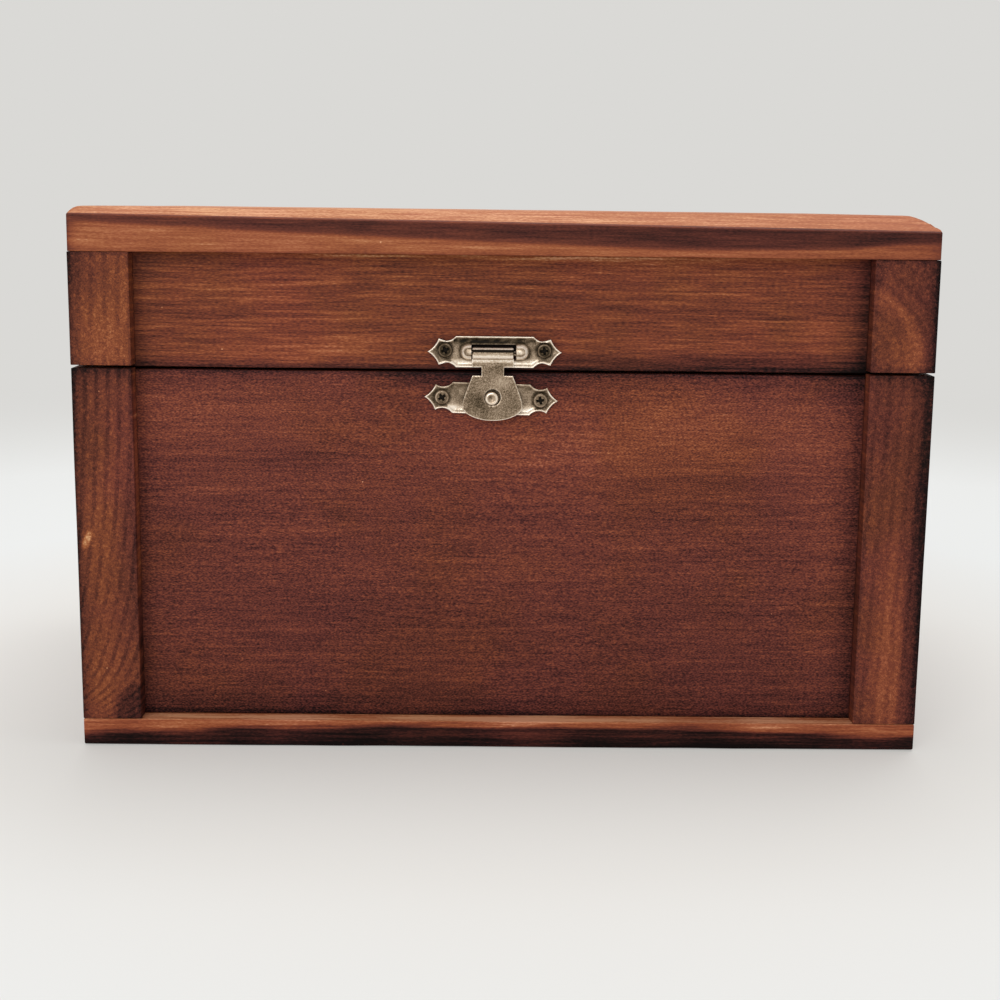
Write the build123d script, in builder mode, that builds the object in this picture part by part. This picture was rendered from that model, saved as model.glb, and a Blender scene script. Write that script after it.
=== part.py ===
"""Hinged wooden box for recipe cards, with a small swing-flap latch.

Millimetres. +X is to the right of someone facing the box, the front faces -Y and +Z is up.
The origin is the centre of the bottom board's underside. The two side boards run front to back
and show their end grain at the front. The front panels stand back from those ends in grooves,
the back panels lie flush in rabbets, and the top and bottom boards cover everything.
"""

import os

from build123d import *

os.makedirs("parts", exist_ok=True)

# Overall size
box_width = 164.7  # across the lid's sides
box_depth = 110.0
box_height = 105.0
seam_height = 74.85  # middle of the saw cut that parts the lid from the base
seam_gap = 0.5  # the saw cut, with the lid closed
base_trim = 0.08  # the base is sanded this much narrower than the lid on each side
top_trim = 0.15  # and the top board this much

# Boards
top_thickness = 8.5
bottom_thickness = 5.3
left_side_thickness = 11.6  # the two side boards were planed from the same stock
right_side_thickness = 12.5
panel_thickness = 6.0
front_recess = 4.0  # how far the front panels stand behind the side boards' ends
groove_depth = 3.2  # how far the panels go into the side boards
front_seam_drop = 0.5  # the front panels meet this much below the side boards' seam
end_arris = 0.5  # rounding of the side boards' worn edges
seam_arris = 0.35  # rounding of the panels' sawn edges
bottom_arris = 0.9  # rounding of the bottom board's edges

# Bevels along the top board, planed by hand: height down the edge and width across the top
bevel_height_left = 1.45
bevel_height_right = 3.0
bevel_width_left = 1.5
bevel_width_right = 4.3
bevel_width_front = 5.5
bevel_width_back = 5.5
bevel_height_back = 2.2
top_arris = 0.25  # rounding of the top board's lower edges
crown_radius = 5.0  # softening where a bevel runs into the flat top

# Brads through the bottom board into the side boards
brad_radius = 0.6
brad_head_radius = 1.1
brad_head_height = 0.8
brad_length = 22.0
brad_point = 1.4
brad_point_radius = 0.12
brad_sink = 0.3  # how far the head is set below the underside
brad_end_margin = 15.0  # from the box's front and back to the end brads
brads_per_side = 3

# Latch plates, stamped from sheet with a raised rim
plate_length = 25.75  # tip to tip
plate_height = 5.95
plate_sheet = 0.45
plate_rim_height = 0.9
plate_rim_width = 0.22  # flat crest of the rim
plate_rim_slope = 52.0  # degrees from upright, inner side of the rim
plate_margin = 0.53  # from the lid panel's lower edge to the upper plate
upper_plate_x = -1.78  # the latch was fixed a little left of the middle
lower_plate_tilt = -1.4  # degrees, the lower plate was screwed on slightly askew
upper_screw_lift = 0.3  # the upper plate's screws sit this much above its middle
shoulder_x = 7.45  # where the plate's straight edges end
scallop_x = 9.0
scallop_depth = 0.9
cusp_x = 10.75
cusp_drop = 0.5
tip_hollow = 0.3  # how far the sides of the pointed end curve inwards

# Housing pressed out of the upper plate for the flap's pivot
dome_length = 13.4
dome_height = 3.3  # along Z
dome_rise = 2.55  # out from the panel
dome_sheet = 0.5
dome_crest = 0.05  # half width of the flat left along the crest
dome_lift = 0.1  # above the plate's middle
window_length = 8.6
window_shift = -0.2  # from the plate's middle

# Flap
flap_sheet = 0.55
flap_stand_off = 1.3  # from the panel to the flap's inner face
flap_shift = -0.35  # from the plate's middle, with the side play taken up to the left
barrel_radius = 1.25
barrel_length = 7.9
barrel_stand_off = 1.45  # from the panel to the pivot axis
pivot_drop = 0.2  # the pivot lies this much below the plate's middle
axle_radius = 0.45
axle_length = 9.9
tab_width = 8.0
tab_drop = 2.55  # from the pivot to where the tab narrows into the neck
neck_width = 4.3
neck_drop = 4.3
shoulder_width = 7.75
flare_width = 11.85  # before the corners are rounded
flare_drop = 10.9
flap_drop = 12.95  # from the pivot to the lowest point of the rounded end
flare_round = 1.3
flap_hole_drop = 8.45
flap_hole_radius = 1.6

# Stud riveted to the lower plate
stud_radius = 1.3
stud_height = 2.6  # from the panel to its top
stud_round = 0.45
stud_dimple_radius = 0.8
stud_dimple_depth = 0.35
stud_tail_radius = 0.8
stud_sag = 0.16  # the stud sits this much below the middle of the flap's hole
stud_shift = -0.15
stud_lift = 0.2  # above the lower plate's middle
stud_offset = 0.1  # to the right of the lower plate's middle

# Screws of the latch and the hinges
screw_radius = 0.7
screw_length = 5.2  # below the head
screw_tip = 1.3
latch_screw_x = 9.5  # from the plate's middle
latch_head_radius = 1.45
latch_head_height = 0.85
latch_head_round = 0.5
cross_width = 0.45
cross_length = 1.5
cross_depth = 0.5
hinge_head_radius = 1.5
sink_angle = 90.0  # degrees, of the countersinks
# How far each screw's cross was left turned, in degrees, from the left-hand screw to the right
upper_latch_turns = (22, 8)
lower_latch_turns = (35, 12)
base_hinge_turns = (10, 65)
lid_hinge_turns = (40, 25)

# Butt hinges on the back
hinge_inset = 38.0  # from the side of the box to the middle of a hinge
hinge_length = 25.0
hinge_sheet = 0.8
hinge_leaf_height = 9.5  # from the pin's axis to the leaf's free edge
hinge_pin_radius = 0.75
hinge_knuckle_radius = 1.4
hinge_stand_off = 0.25  # from the back of the box to the knuckles
hinge_knuckles = 5
hinge_screw_x = 8.0  # from the hinge's middle
hinge_screw_rise = 5.9  # from the pin's axis
hinge_corner = 1.2
pin_head_radius = 1.1
pin_head_height = 0.5

# Clearances
fit_clearance = 0.03  # round a fixed screw, rivet or brad
plate_hole_clearance = 0.2  # screw holes in the plates
running_clearance = 0.05  # radial, round a pin
side_clearance = 0.15  # between neighbouring knuckles, and round them
blind_clearance = 0.2  # beyond the end of a screw or brad

# Planes and levels worked out from the sizes above
front_y = -box_depth / 2
back_y = box_depth / 2
panel_front_y = front_y + front_recess
base_width = box_width - 2 * base_trim
base_edge_z = seam_height - seam_gap / 2
lid_edge_z = seam_height + seam_gap / 2
top_board_z = box_height - top_thickness
left_inner_x = left_side_thickness - box_width / 2
right_inner_x = box_width / 2 - right_side_thickness
panel_x = (left_inner_x + right_inner_x) / 2
panel_width = right_inner_x - left_inner_x + 2 * groove_depth

upper_plate_z = lid_edge_z - front_seam_drop + plate_margin + plate_height / 2
pivot_z = upper_plate_z - pivot_drop
pivot_x = upper_plate_x + flap_shift
stud_x = pivot_x + stud_shift
stud_z = pivot_z - flap_hole_drop - stud_sag
hinge_axis_y = back_y + hinge_stand_off + hinge_knuckle_radius
hinge_x = box_width / 2 - hinge_inset


def moved(plane, x, y, out=0.0, turn=0.0):
    """Copy of a plane, moved within itself and along its normal, and turned about the normal."""
    return Plane(plane.location * Location((x, y, out), (0, 0, turn)))


def front_plane(x, z, stand_off=0.0):
    """Plane on the front panels' face whose normal points out of the box, with its Y upwards."""
    return Plane(origin=(x, panel_front_y - stand_off, z), x_dir=(1, 0, 0), z_dir=(0, -1, 0))


def back_plane(x, z, stand_off=0.0):
    """Plane on the back of the box whose normal points out of the box, with its Y upwards."""
    return Plane(origin=(x, back_y + stand_off, z), x_dir=(-1, 0, 0), z_dir=(0, 1, 0))


def write(builder, name):
    """Labels a finished sub-part and writes it to its own file."""
    builder.part.label = name
    export_step(builder.part, f"parts/{name}.step")


upper_plate_plane = front_plane(upper_plate_x, upper_plate_z)
upper_screws_plane = moved(upper_plate_plane, 0, upper_screw_lift)
dome_plane = moved(upper_plate_plane, 0, dome_lift)
stud_plane = front_plane(stud_x, stud_z)
lower_plate_plane = moved(stud_plane, -stud_offset, -stud_lift, turn=lower_plate_tilt)


# Brads, three along each edge of the bottom board, driven up into the middle of the side boards
brad_pitch = (box_depth - 2 * brad_end_margin) / (brads_per_side - 1)
brad_ys = [front_y + brad_end_margin + i * brad_pitch for i in range(brads_per_side)]
left_brad_spots = [((left_inner_x - base_width / 2) / 2, y) for y in brad_ys]
right_brad_spots = [((right_inner_x + base_width / 2) / 2, y) for y in brad_ys]
brad_spots = left_brad_spots + right_brad_spots
brad_top_z = brad_sink + brad_length

for number, (x, y) in enumerate(brad_spots, start=1):
    with BuildPart() as brad:
        with BuildSketch(Plane.XY.offset(brad_sink)):
            with Locations((x, y)):
                Circle(brad_head_radius)
        extrude(amount=brad_head_height)
        with BuildSketch(Plane.XY.offset(brad_sink)):
            with Locations((x, y)):
                Circle(brad_radius)
        extrude(amount=brad_length)
        point_edge = brad.faces().sort_by(Axis.Z)[-1].edges()[0]
        chamfer(point_edge, brad_point, brad_radius - brad_point_radius)
    write(brad, f"bottom_brad_{number}")


# Bottom board, with counterbored holes for the brads
with BuildPart() as bottom_board:
    with BuildSketch(Plane.XY):
        Rectangle(base_width, box_depth)
    extrude(amount=bottom_thickness)
    fillet(bottom_board.edges().filter_by(Axis.Z), bottom_arris)
    fillet(bottom_board.faces().sort_by(Axis.Z)[0].edges(), bottom_arris)
    front_top_edge = bottom_board.faces().sort_by(Axis.Z)[-1].edges().sort_by(Axis.Y)[0]
    fillet(front_top_edge, end_arris)
    with Locations(Plane(origin=(0, 0, 0), x_dir=(1, 0, 0), z_dir=(0, 0, -1))):
        with Locations(*brad_spots):
            CounterBoreHole(
                brad_radius + fit_clearance,
                brad_head_radius + fit_clearance,
                brad_sink + brad_head_height + fit_clearance,
            )
write(bottom_board, "bottom_board")


# Side boards: the cross-section carries the grooves, because they run the full height
def side_board(inner_x, width, low_z, high_z, nail_spots=(), nail_depth=0.0):
    """Board between its inner face and half the width, on the side that the inner face is on."""
    sign = -1 if inner_x < 0 else 1
    outer_x = sign * width / 2
    groove_middle_x = inner_x + sign * groove_depth / 2
    panel_ends = [panel_front_y + panel_thickness / 2, back_y - panel_thickness / 2]
    with BuildPart() as board:
        with BuildSketch(Plane.XY.offset(low_z)):
            with Locations(((outer_x + inner_x) / 2, 0)):
                Rectangle(abs(outer_x - inner_x), box_depth)
            with Locations(*[(groove_middle_x, y) for y in panel_ends]):
                Rectangle(groove_depth, panel_thickness, mode=Mode.SUBTRACT)
        extrude(amount=high_z - low_z)
        outer_face = board.faces().sort_by(Axis.X)[0 if sign < 0 else -1]
        front_end = board.faces().sort_by(Axis.Y)[0]
        fillet(list(set(outer_face.edges() + front_end.edges())), end_arris)
        if nail_spots:
            with BuildSketch(Plane.XY.offset(low_z)):
                with Locations(*nail_spots):
                    Circle(brad_radius + fit_clearance)
            extrude(amount=nail_depth, mode=Mode.SUBTRACT)
    return board


nail_depth = brad_top_z - bottom_thickness + blind_clearance
sides = {"left": (left_inner_x, left_brad_spots), "right": (right_inner_x, right_brad_spots)}
for side_name, (inner_x, nail_spots) in sides.items():
    base_side = side_board(inner_x, base_width, bottom_thickness, base_edge_z, nail_spots, nail_depth)
    write(base_side, f"base_side_{side_name}")
    write(side_board(inner_x, box_width, lid_edge_z, top_board_z), f"lid_side_{side_name}")


# Panels, with blind pilot holes for the screws of the latch and the hinges
screw_hole_radius = screw_radius + fit_clearance
hinge_screw_spots = [(side * hinge_x + end * hinge_screw_x, 0) for side in (-1, 1) for end in (-1, 1)]


latch_screw_spots = [(-latch_screw_x, 0), (latch_screw_x, 0)]
latch_hole_depth = screw_length - plate_sheet + blind_clearance
hinge_hole_depth = screw_length - hinge_sheet + blind_clearance


def panel(middle_y, low_z, high_z, sawn_side, hole_plane):
    """Panel between two heights; sawn_side is 0 where its lower edge is the sawn one, else -1."""
    at_front = middle_y < 0
    with BuildPart() as board:
        with BuildSketch(Plane.XY.offset(low_z)):
            with Locations((panel_x, middle_y)):
                Rectangle(panel_width, panel_thickness)
        extrude(amount=high_z - low_z)
        sawn_face = board.faces().sort_by(Axis.Z)[sawn_side]
        fillet(sawn_face.edges().filter_by(Axis.X), seam_arris)
        with Locations(hole_plane):
            with Locations(*(latch_screw_spots if at_front else hinge_screw_spots)):
                Hole(screw_hole_radius, depth=latch_hole_depth if at_front else hinge_hole_depth)
    return board


front_middle_y = panel_front_y + panel_thickness / 2
back_middle_y = back_y - panel_thickness / 2
base_panel_z = base_edge_z - front_seam_drop
lid_panel_z = lid_edge_z - front_seam_drop
base_hinge_plane = back_plane(0, seam_height - hinge_screw_rise)
lid_hinge_plane = back_plane(0, seam_height + hinge_screw_rise)
base_front = panel(front_middle_y, bottom_thickness, base_panel_z, -1, lower_plate_plane)
write(base_front, "base_front_panel")
lid_front = panel(front_middle_y, lid_panel_z, top_board_z, 0, upper_screws_plane)
write(lid_front, "lid_front_panel")
base_back = panel(back_middle_y, bottom_thickness, base_edge_z, -1, base_hinge_plane)
write(base_back, "base_back_panel")
lid_back = panel(back_middle_y, lid_edge_z, top_board_z, 0, lid_hinge_plane)
write(lid_back, "lid_back_panel")


# Top board: planed bevels run round its upper face, steeper towards the right
def bevel_plane(first, second, inner):
    """Plane through two corners of the bevel's outer line and a point on the flat top."""
    along = Vector(second) - Vector(first)
    across = Vector(inner) - Vector(first)
    return Plane(origin=first, x_dir=along, z_dir=along.cross(across))


top_width = box_width - 2 * top_trim
left_x = -top_width / 2
right_x = top_width / 2
left_bevel_z = box_height - bevel_height_left
right_bevel_z = box_height - bevel_height_right
back_bevel_z = box_height - bevel_height_back
bevels = [
    bevel_plane(
        (left_x, front_y, left_bevel_z),
        (right_x, front_y, right_bevel_z),
        (0, front_y + bevel_width_front, box_height),
    ),
    bevel_plane(
        (right_x, front_y, right_bevel_z),
        (right_x, back_y, right_bevel_z),
        (right_x - bevel_width_right, 0, box_height),
    ),
    bevel_plane(
        (right_x, back_y, back_bevel_z),
        (left_x, back_y, back_bevel_z),
        (0, back_y - bevel_width_back, box_height),
    ),
    bevel_plane(
        (left_x, back_y, left_bevel_z),
        (left_x, front_y, left_bevel_z),
        (left_x + bevel_width_left, 0, box_height),
    ),
]

with BuildPart() as top_board:
    with BuildSketch(Plane.XY.offset(top_board_z)):
        Rectangle(top_width, box_depth)
    extrude(amount=top_thickness)
    for plane in bevels:
        split(bisect_by=plane, keep=Keep.BOTTOM)
    fillet(top_board.faces().sort_by(Axis.Z)[-1].edges(), crown_radius)
    fillet(top_board.faces().sort_by(Axis.Z)[0].edges(), top_arris)
write(top_board, "lid_top_board")


# Screws: turned bodies with a pointed shank and a cross recess
def turned(plane, *points, crest_round=0.0):
    """Solid of revolution about the plane's normal; points are radius and height above the plane."""
    section = Plane(origin=plane.origin, x_dir=plane.x_dir, z_dir=plane.x_dir.cross(plane.z_dir))
    with BuildPart() as body:
        with BuildSketch(section):
            with BuildLine():
                Polyline(*points, close=True)
            make_face()
        revolve(axis=Axis(plane.origin, plane.z_dir))
        if crest_round:
            crest = body.faces().sort_by(Axis(plane.origin, plane.z_dir))[-1]
            fillet(crest.edges(), crest_round)
    return body.part


def screw(name, seat, head_radius, head_height, crest_round, turn):
    """Screw whose head starts at the seat plane; a head height of 0 means a countersunk head."""
    shank = [(screw_radius, screw_tip - screw_length), (0, -screw_length)]
    if head_height > 0:
        head = [(0, head_height), (head_radius, head_height), (head_radius, 0), (screw_radius, 0)]
    else:
        head = [(0, 0), (head_radius, 0), (screw_radius, screw_radius - head_radius)]
    blank = turned(seat, *head, *shank, crest_round=crest_round)
    with BuildPart() as finished:
        add(blank)
        with BuildSketch(moved(seat, 0, 0, head_height, turn)):
            Rectangle(cross_length, cross_width)
            Rectangle(cross_width, cross_length)
        extrude(amount=-cross_depth, mode=Mode.SUBTRACT)
    write(finished, name)


def latch_screw(level, plane, side_name, x, turn):
    name = f"latch_{level}_screw_{side_name}"
    seat = moved(plane, x, 0, plate_sheet)
    screw(name, seat, latch_head_radius, latch_head_height, latch_head_round, turn)


latch_levels = {
    "upper": (upper_screws_plane, upper_latch_turns),
    "lower": (lower_plate_plane, lower_latch_turns),
}
for level, (plane, (left_turn, right_turn)) in latch_levels.items():
    latch_screw(level, plane, "left", -latch_screw_x, left_turn)
    latch_screw(level, plane, "right", latch_screw_x, right_turn)


# Latch plates: straight top and bottom, a scallop beyond each shoulder, then a pointed end
plate_top = plate_height / 2
with BuildLine() as plate_outline:
    Line((0, plate_top), (shoulder_x, plate_top))
    ThreePointArc(
        (shoulder_x, plate_top),
        (scallop_x, plate_top - scallop_depth),
        (cusp_x, plate_top - cusp_drop),
    )
    SagittaArc((cusp_x, plate_top - cusp_drop), (plate_length / 2, 0), tip_hollow)
    mirror(about=Plane.XZ)
    mirror(about=Plane.YZ)


def dished_plate(plane, screws_plane):
    """Stamped plate with a raised rim, its flat field lying on the panel."""
    with BuildPart() as plate:
        with BuildSketch(plane):
            make_face(plate_outline.edges())
        extrude(amount=plate_rim_height)
        with BuildSketch(plane.offset(plate_rim_height)):
            make_face(plate_outline.edges())
            offset(amount=-plate_rim_width, mode=Mode.REPLACE)
        extrude(amount=plate_sheet - plate_rim_height, taper=plate_rim_slope, mode=Mode.SUBTRACT)
        with BuildSketch(screws_plane):
            with Locations(*latch_screw_spots):
                Circle(screw_radius + plate_hole_clearance)
        extrude(amount=plate_sheet, mode=Mode.SUBTRACT)
        with BuildSketch(screws_plane.offset(plate_sheet)):
            with Locations(*latch_screw_spots):
                Circle(latch_head_radius + fit_clearance)
        extrude(amount=plate_rim_height - plate_sheet, mode=Mode.SUBTRACT)
    return plate.part


def arched_slot(plane, length, height, rise):
    """Slot-shaped bulge whose top is rounded over almost to a half circle."""
    with BuildPart() as bulge:
        with BuildSketch(plane):
            SlotOverall(length, height)
        extrude(amount=rise)
        crest = bulge.faces().sort_by(Axis(plane.origin, plane.z_dir))[-1]
        fillet(crest.edges(), height / 2 - dome_crest)
    return bulge.part


dome = arched_slot(dome_plane, dome_length, dome_height, dome_rise)
dome_hollow = arched_slot(
    dome_plane,
    dome_length - 2 * dome_sheet,
    dome_height - 2 * dome_sheet,
    dome_rise - dome_sheet,
)
upper_blank = dished_plate(upper_plate_plane, upper_screws_plane)
with BuildPart() as upper_plate:
    add(upper_blank)
    add(dome)
    add(dome_hollow, mode=Mode.SUBTRACT)
    with BuildSketch(moved(dome_plane, window_shift, 0)):
        Rectangle(window_length, dome_height)
    extrude(amount=dome_rise, mode=Mode.SUBTRACT)
write(upper_plate, "latch_upper_plate")

lower_blank = dished_plate(lower_plate_plane, lower_plate_plane)
with BuildPart() as lower_plate:
    add(lower_blank)
    with Locations(stud_plane.offset(plate_rim_height)):
        Hole(stud_tail_radius + fit_clearance)
write(lower_plate, "latch_lower_plate")


# Stud, riveted through the lower plate, with a dimpled top
stud_blank = turned(
    stud_plane,
    (0, stud_height),
    (stud_radius, stud_height),
    (stud_radius, plate_sheet),
    (stud_tail_radius, plate_sheet),
    (stud_tail_radius, 0),
    (0, 0),
    crest_round=stud_round,
)
dimple_ball = (stud_dimple_radius**2 + stud_dimple_depth**2) / (2 * stud_dimple_depth)
with BuildPart() as stud:
    add(stud_blank)
    with Locations(stud_plane.offset(stud_height - stud_dimple_depth + dimple_ball)):
        Sphere(dimple_ball, mode=Mode.SUBTRACT)
write(stud, "latch_stud")


# Flap: a sheet tab, neck and flared tongue hanging from a rolled barrel with two axle ends
flap_plane = front_plane(pivot_x, pivot_z, flap_stand_off)
pivot_origin = (pivot_x, panel_front_y - barrel_stand_off, pivot_z)
pivot_plane = Plane(origin=pivot_origin, x_dir=(0, 1, 0), z_dir=(1, 0, 0))

with BuildLine() as flap_outline:
    Line((0, 0), (tab_width / 2, 0))
    Line((tab_width / 2, 0), (tab_width / 2, -tab_drop))
    Line((tab_width / 2, -tab_drop), (neck_width / 2, -tab_drop))
    Line((neck_width / 2, -tab_drop), (neck_width / 2, -neck_drop))
    Line((neck_width / 2, -neck_drop), (shoulder_width / 2, -neck_drop))
    Line((shoulder_width / 2, -neck_drop), (flare_width / 2, -flare_drop))
    TangentArc((0, -flap_drop), (flare_width / 2, -flare_drop), tangent=(1, 0))
    mirror(about=Plane.YZ)

with BuildPart() as flap:
    with BuildSketch(flap_plane) as flap_sketch:
        make_face(flap_outline.edges())
        flare_corners = flap_sketch.vertices().group_by(Axis.X)
        fillet(flare_corners[0] + flare_corners[-1], flare_round)
        with Locations((0, -flap_hole_drop)):
            Circle(flap_hole_radius, mode=Mode.SUBTRACT)
    extrude(amount=flap_sheet)
    with BuildSketch(pivot_plane):
        Circle(barrel_radius)
    extrude(amount=barrel_length / 2, both=True)
    with BuildSketch(pivot_plane):
        Circle(axle_radius)
    extrude(amount=axle_length / 2, both=True)
write(flap, "latch_flap")


# Hinges: two leaves with interleaved knuckles, a pin and four countersunk screws each
knuckle_pitch = hinge_length / hinge_knuckles
knuckle_length = knuckle_pitch - side_clearance
knuckle_xs = [(k - (hinge_knuckles - 1) / 2) * knuckle_pitch for k in range(hinge_knuckles)]
notch_height = 2 * (hinge_knuckle_radius + hinge_stand_off)


def pin_plane(x):
    """Plane across the hinge pin whose normal runs along it."""
    return Plane(origin=(x, hinge_axis_y, seam_height), x_dir=(0, 1, 0), z_dir=(1, 0, 0))


def hinge_leaf(name, middle_x, way, own_xs, other_xs):
    """Leaf on the back of the box; way is 1 for the lid's leaf and -1 for the base's."""
    plane = back_plane(middle_x, seam_height)
    with BuildPart() as leaf:
        with BuildSketch(plane):
            with Locations((0, way * hinge_leaf_height / 2)):
                Rectangle(hinge_length, hinge_leaf_height)
        extrude(amount=hinge_sheet)
        free_end = leaf.faces().sort_by(Axis.Z)[-1 if way > 0 else 0]
        fillet(free_end.edges().filter_by(Axis.Y), hinge_corner)
        for x in other_xs:
            with BuildSketch(plane):
                with Locations((-x, 0)):
                    Rectangle(knuckle_pitch + side_clearance, notch_height)
            extrude(amount=hinge_sheet, mode=Mode.SUBTRACT)
        for x in own_xs:
            with BuildSketch(pin_plane(middle_x + x)):
                Circle(hinge_knuckle_radius)
            extrude(amount=knuckle_length / 2, both=True)
        with BuildSketch(pin_plane(middle_x)):
            Circle(hinge_pin_radius + running_clearance)
        extrude(amount=hinge_length, both=True, mode=Mode.SUBTRACT)
        with Locations(plane.offset(hinge_sheet)):
            with Locations(*[(end * hinge_screw_x, way * hinge_screw_rise) for end in (-1, 1)]):
                CounterSinkHole(
                    screw_radius + plate_hole_clearance,
                    hinge_head_radius + plate_hole_clearance,
                    counter_sink_angle=sink_angle,
                )
    write(leaf, name)


def hinge_screw(hinge_name, part_name, number, x, way, turn):
    seat = back_plane(x, seam_height + way * hinge_screw_rise, hinge_sheet)
    name = f"{hinge_name}_{part_name}_screw_{number}"
    screw(name, seat, hinge_head_radius, 0.0, 0.0, turn)


for side_name, middle_x in (("left", -hinge_x), ("right", hinge_x)):
    hinge_name = f"hinge_{side_name}"
    hinge_leaf(f"{hinge_name}_base_leaf", middle_x, -1, knuckle_xs[0::2], knuckle_xs[1::2])
    hinge_leaf(f"{hinge_name}_lid_leaf", middle_x, 1, knuckle_xs[1::2], knuckle_xs[0::2])
    with BuildPart() as pin:
        with BuildSketch(pin_plane(middle_x)):
            Circle(hinge_pin_radius)
        extrude(amount=hinge_length / 2, both=True)
        for end in (-1, 1):
            with BuildSketch(pin_plane(middle_x + end * hinge_length / 2)):
                Circle(pin_head_radius)
            extrude(amount=end * pin_head_height)
    write(pin, f"{hinge_name}_pin")
    for part_name, way, turns in (("base", -1, base_hinge_turns), ("lid", 1, lid_hinge_turns)):
        hinge_screw(hinge_name, part_name, 1, middle_x - hinge_screw_x, way, turns[0])
        hinge_screw(hinge_name, part_name, 2, middle_x + hinge_screw_x, way, turns[1])
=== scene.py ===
import math

import bpy
import numpy as np
from mathutils import Matrix, Vector


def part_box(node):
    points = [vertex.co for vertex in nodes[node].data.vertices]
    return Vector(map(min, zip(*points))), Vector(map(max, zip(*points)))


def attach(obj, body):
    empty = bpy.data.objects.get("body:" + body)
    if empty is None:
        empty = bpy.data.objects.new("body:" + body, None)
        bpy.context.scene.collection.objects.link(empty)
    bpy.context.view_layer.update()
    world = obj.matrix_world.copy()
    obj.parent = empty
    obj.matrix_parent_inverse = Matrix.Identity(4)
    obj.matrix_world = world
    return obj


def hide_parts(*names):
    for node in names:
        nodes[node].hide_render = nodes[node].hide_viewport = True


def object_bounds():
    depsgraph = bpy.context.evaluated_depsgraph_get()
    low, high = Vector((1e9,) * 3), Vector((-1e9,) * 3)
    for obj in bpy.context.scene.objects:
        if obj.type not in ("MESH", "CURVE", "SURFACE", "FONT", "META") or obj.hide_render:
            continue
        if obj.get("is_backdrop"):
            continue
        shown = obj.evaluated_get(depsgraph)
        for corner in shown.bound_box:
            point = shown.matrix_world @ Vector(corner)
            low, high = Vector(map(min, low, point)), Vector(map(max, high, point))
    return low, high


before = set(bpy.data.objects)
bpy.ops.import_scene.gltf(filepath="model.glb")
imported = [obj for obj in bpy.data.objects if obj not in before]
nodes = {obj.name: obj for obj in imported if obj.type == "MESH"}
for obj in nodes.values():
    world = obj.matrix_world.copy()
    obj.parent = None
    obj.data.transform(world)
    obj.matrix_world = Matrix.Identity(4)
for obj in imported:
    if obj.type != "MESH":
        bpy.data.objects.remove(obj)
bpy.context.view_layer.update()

mm = 0.001
print("frame loaded,", len(nodes), "pieces in it")


# Camera, lamps and floor
shot = dict(lens=58.615, place=(-3.76, -364.23, 105.58), yaw=0.605, pitch=-10.213, roll=0.627)
studio = dict(
    roomColor=(0.80, 0.79, 0.77), roomLight=0.62,
    seenColor=(218, 217, 214),
    topSize=0.7, topPlace=(0.05, 0.22, 1.0), topPower=7.0,
    frontSize=1.1, frontPlace=(-0.35, -1.25, 0.75), frontPower=9.0,
)
floorLook = dict(
    # the shades are palest about 0.2 m out, a painted pool of light on the floor
    shades=[(0.0, (230, 227, 222)), (0.12, (230, 228, 224)), (0.2, (234, 237, 238)), (0.5, (228, 229, 228))],
    reach=1.6, fadeFrom=0.08, fadeTo=0.62, glow=0.42,
)


def paint(red, green, blue):  # a colour as it looks on screen, 0 to 255, turned into linear light
    screen = np.array([red, green, blue]) / 255
    linear = np.where(screen < 0.04045, screen / 12.92, ((screen + 0.055) / 1.055) ** 2.4)
    return (*linear.tolist(), 1.0)


def newNode(tree, kind, sockets=(), **settings):
    node = tree.nodes.new("ShaderNode" + kind)
    for name, value in settings.items():
        setattr(node, name, value)
    for socket, value in dict(sockets).items():
        if isinstance(value, bpy.types.NodeSocket):
            tree.links.new(value, node.inputs[socket])
        else:
            node.inputs[socket].default_value = value
    return node


def clearedTree(owner):  # the empty node tree of a material or a world
    owner.use_nodes = True
    owner.node_tree.nodes.clear()
    return owner.node_tree


def mathNode(tree, operation, first, second):
    return newNode(tree, "Math", {0: first, 1: second}, operation=operation).outputs[0]


def eased(tree, value, low, high, start=0.0, end=1.0):  # a soft step from start at low to end at high
    return newNode(
        tree, "MapRange",
        {"Value": value, "From Min": low, "From Max": high, "To Min": start, "To Max": end},
        interpolation_type="SMOOTHSTEP",
    ).outputs[0]


def noise(tree, place, scale, detail, rough=0.5):
    sockets = {"Vector": place, "Scale": scale, "Detail": detail, "Roughness": rough}
    return newNode(tree, "TexNoise", sockets).outputs["Fac"]


def fillRamp(ramp, shades):
    while len(ramp.elements) < len(shades):
        ramp.elements.new(0.5)
    for stop, (position, shade) in zip(ramp.elements, shades):
        stop.position = position
        stop.color = paint(*shade)


def aimCamera(shot):  # three angles give the view's own axes: ahead, then right and up turned by the roll
    yaw, pitch, roll = (math.radians(shot[angle]) for angle in ("yaw", "pitch", "roll"))
    ahead = Vector((math.sin(yaw) * math.cos(pitch), math.cos(yaw) * math.cos(pitch), math.sin(pitch)))
    level = Vector((math.cos(yaw), -math.sin(yaw), 0))
    upright = level.cross(ahead)
    right = math.cos(roll) * level + math.sin(roll) * upright
    up = math.cos(roll) * upright - math.sin(roll) * level
    eye = bpy.data.objects.new("eye", bpy.data.cameras.new("eye"))
    bpy.context.scene.collection.objects.link(eye)
    turn = Matrix((right, up, -ahead)).transposed().to_4x4()
    eye.matrix_world = Matrix.Translation(Vector(shot["place"]) * mm) @ turn
    eye.data.lens = shot["lens"]
    eye.data.clip_start = 0.01
    bpy.context.scene.camera = eye


def addLamp(name, place, size, power):  # a square soft lamp that looks at the middle of the box
    lamp = bpy.data.objects.new(name, bpy.data.lights.new(name, "AREA"))
    lamp.data.size = size
    lamp.data.energy = power
    lamp.location = place
    lamp.rotation_euler = (Vector((0, 0, 0.05)) - Vector(place)).to_track_quat("-Z", "Y").to_euler()
    bpy.context.scene.collection.objects.link(lamp)


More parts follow.
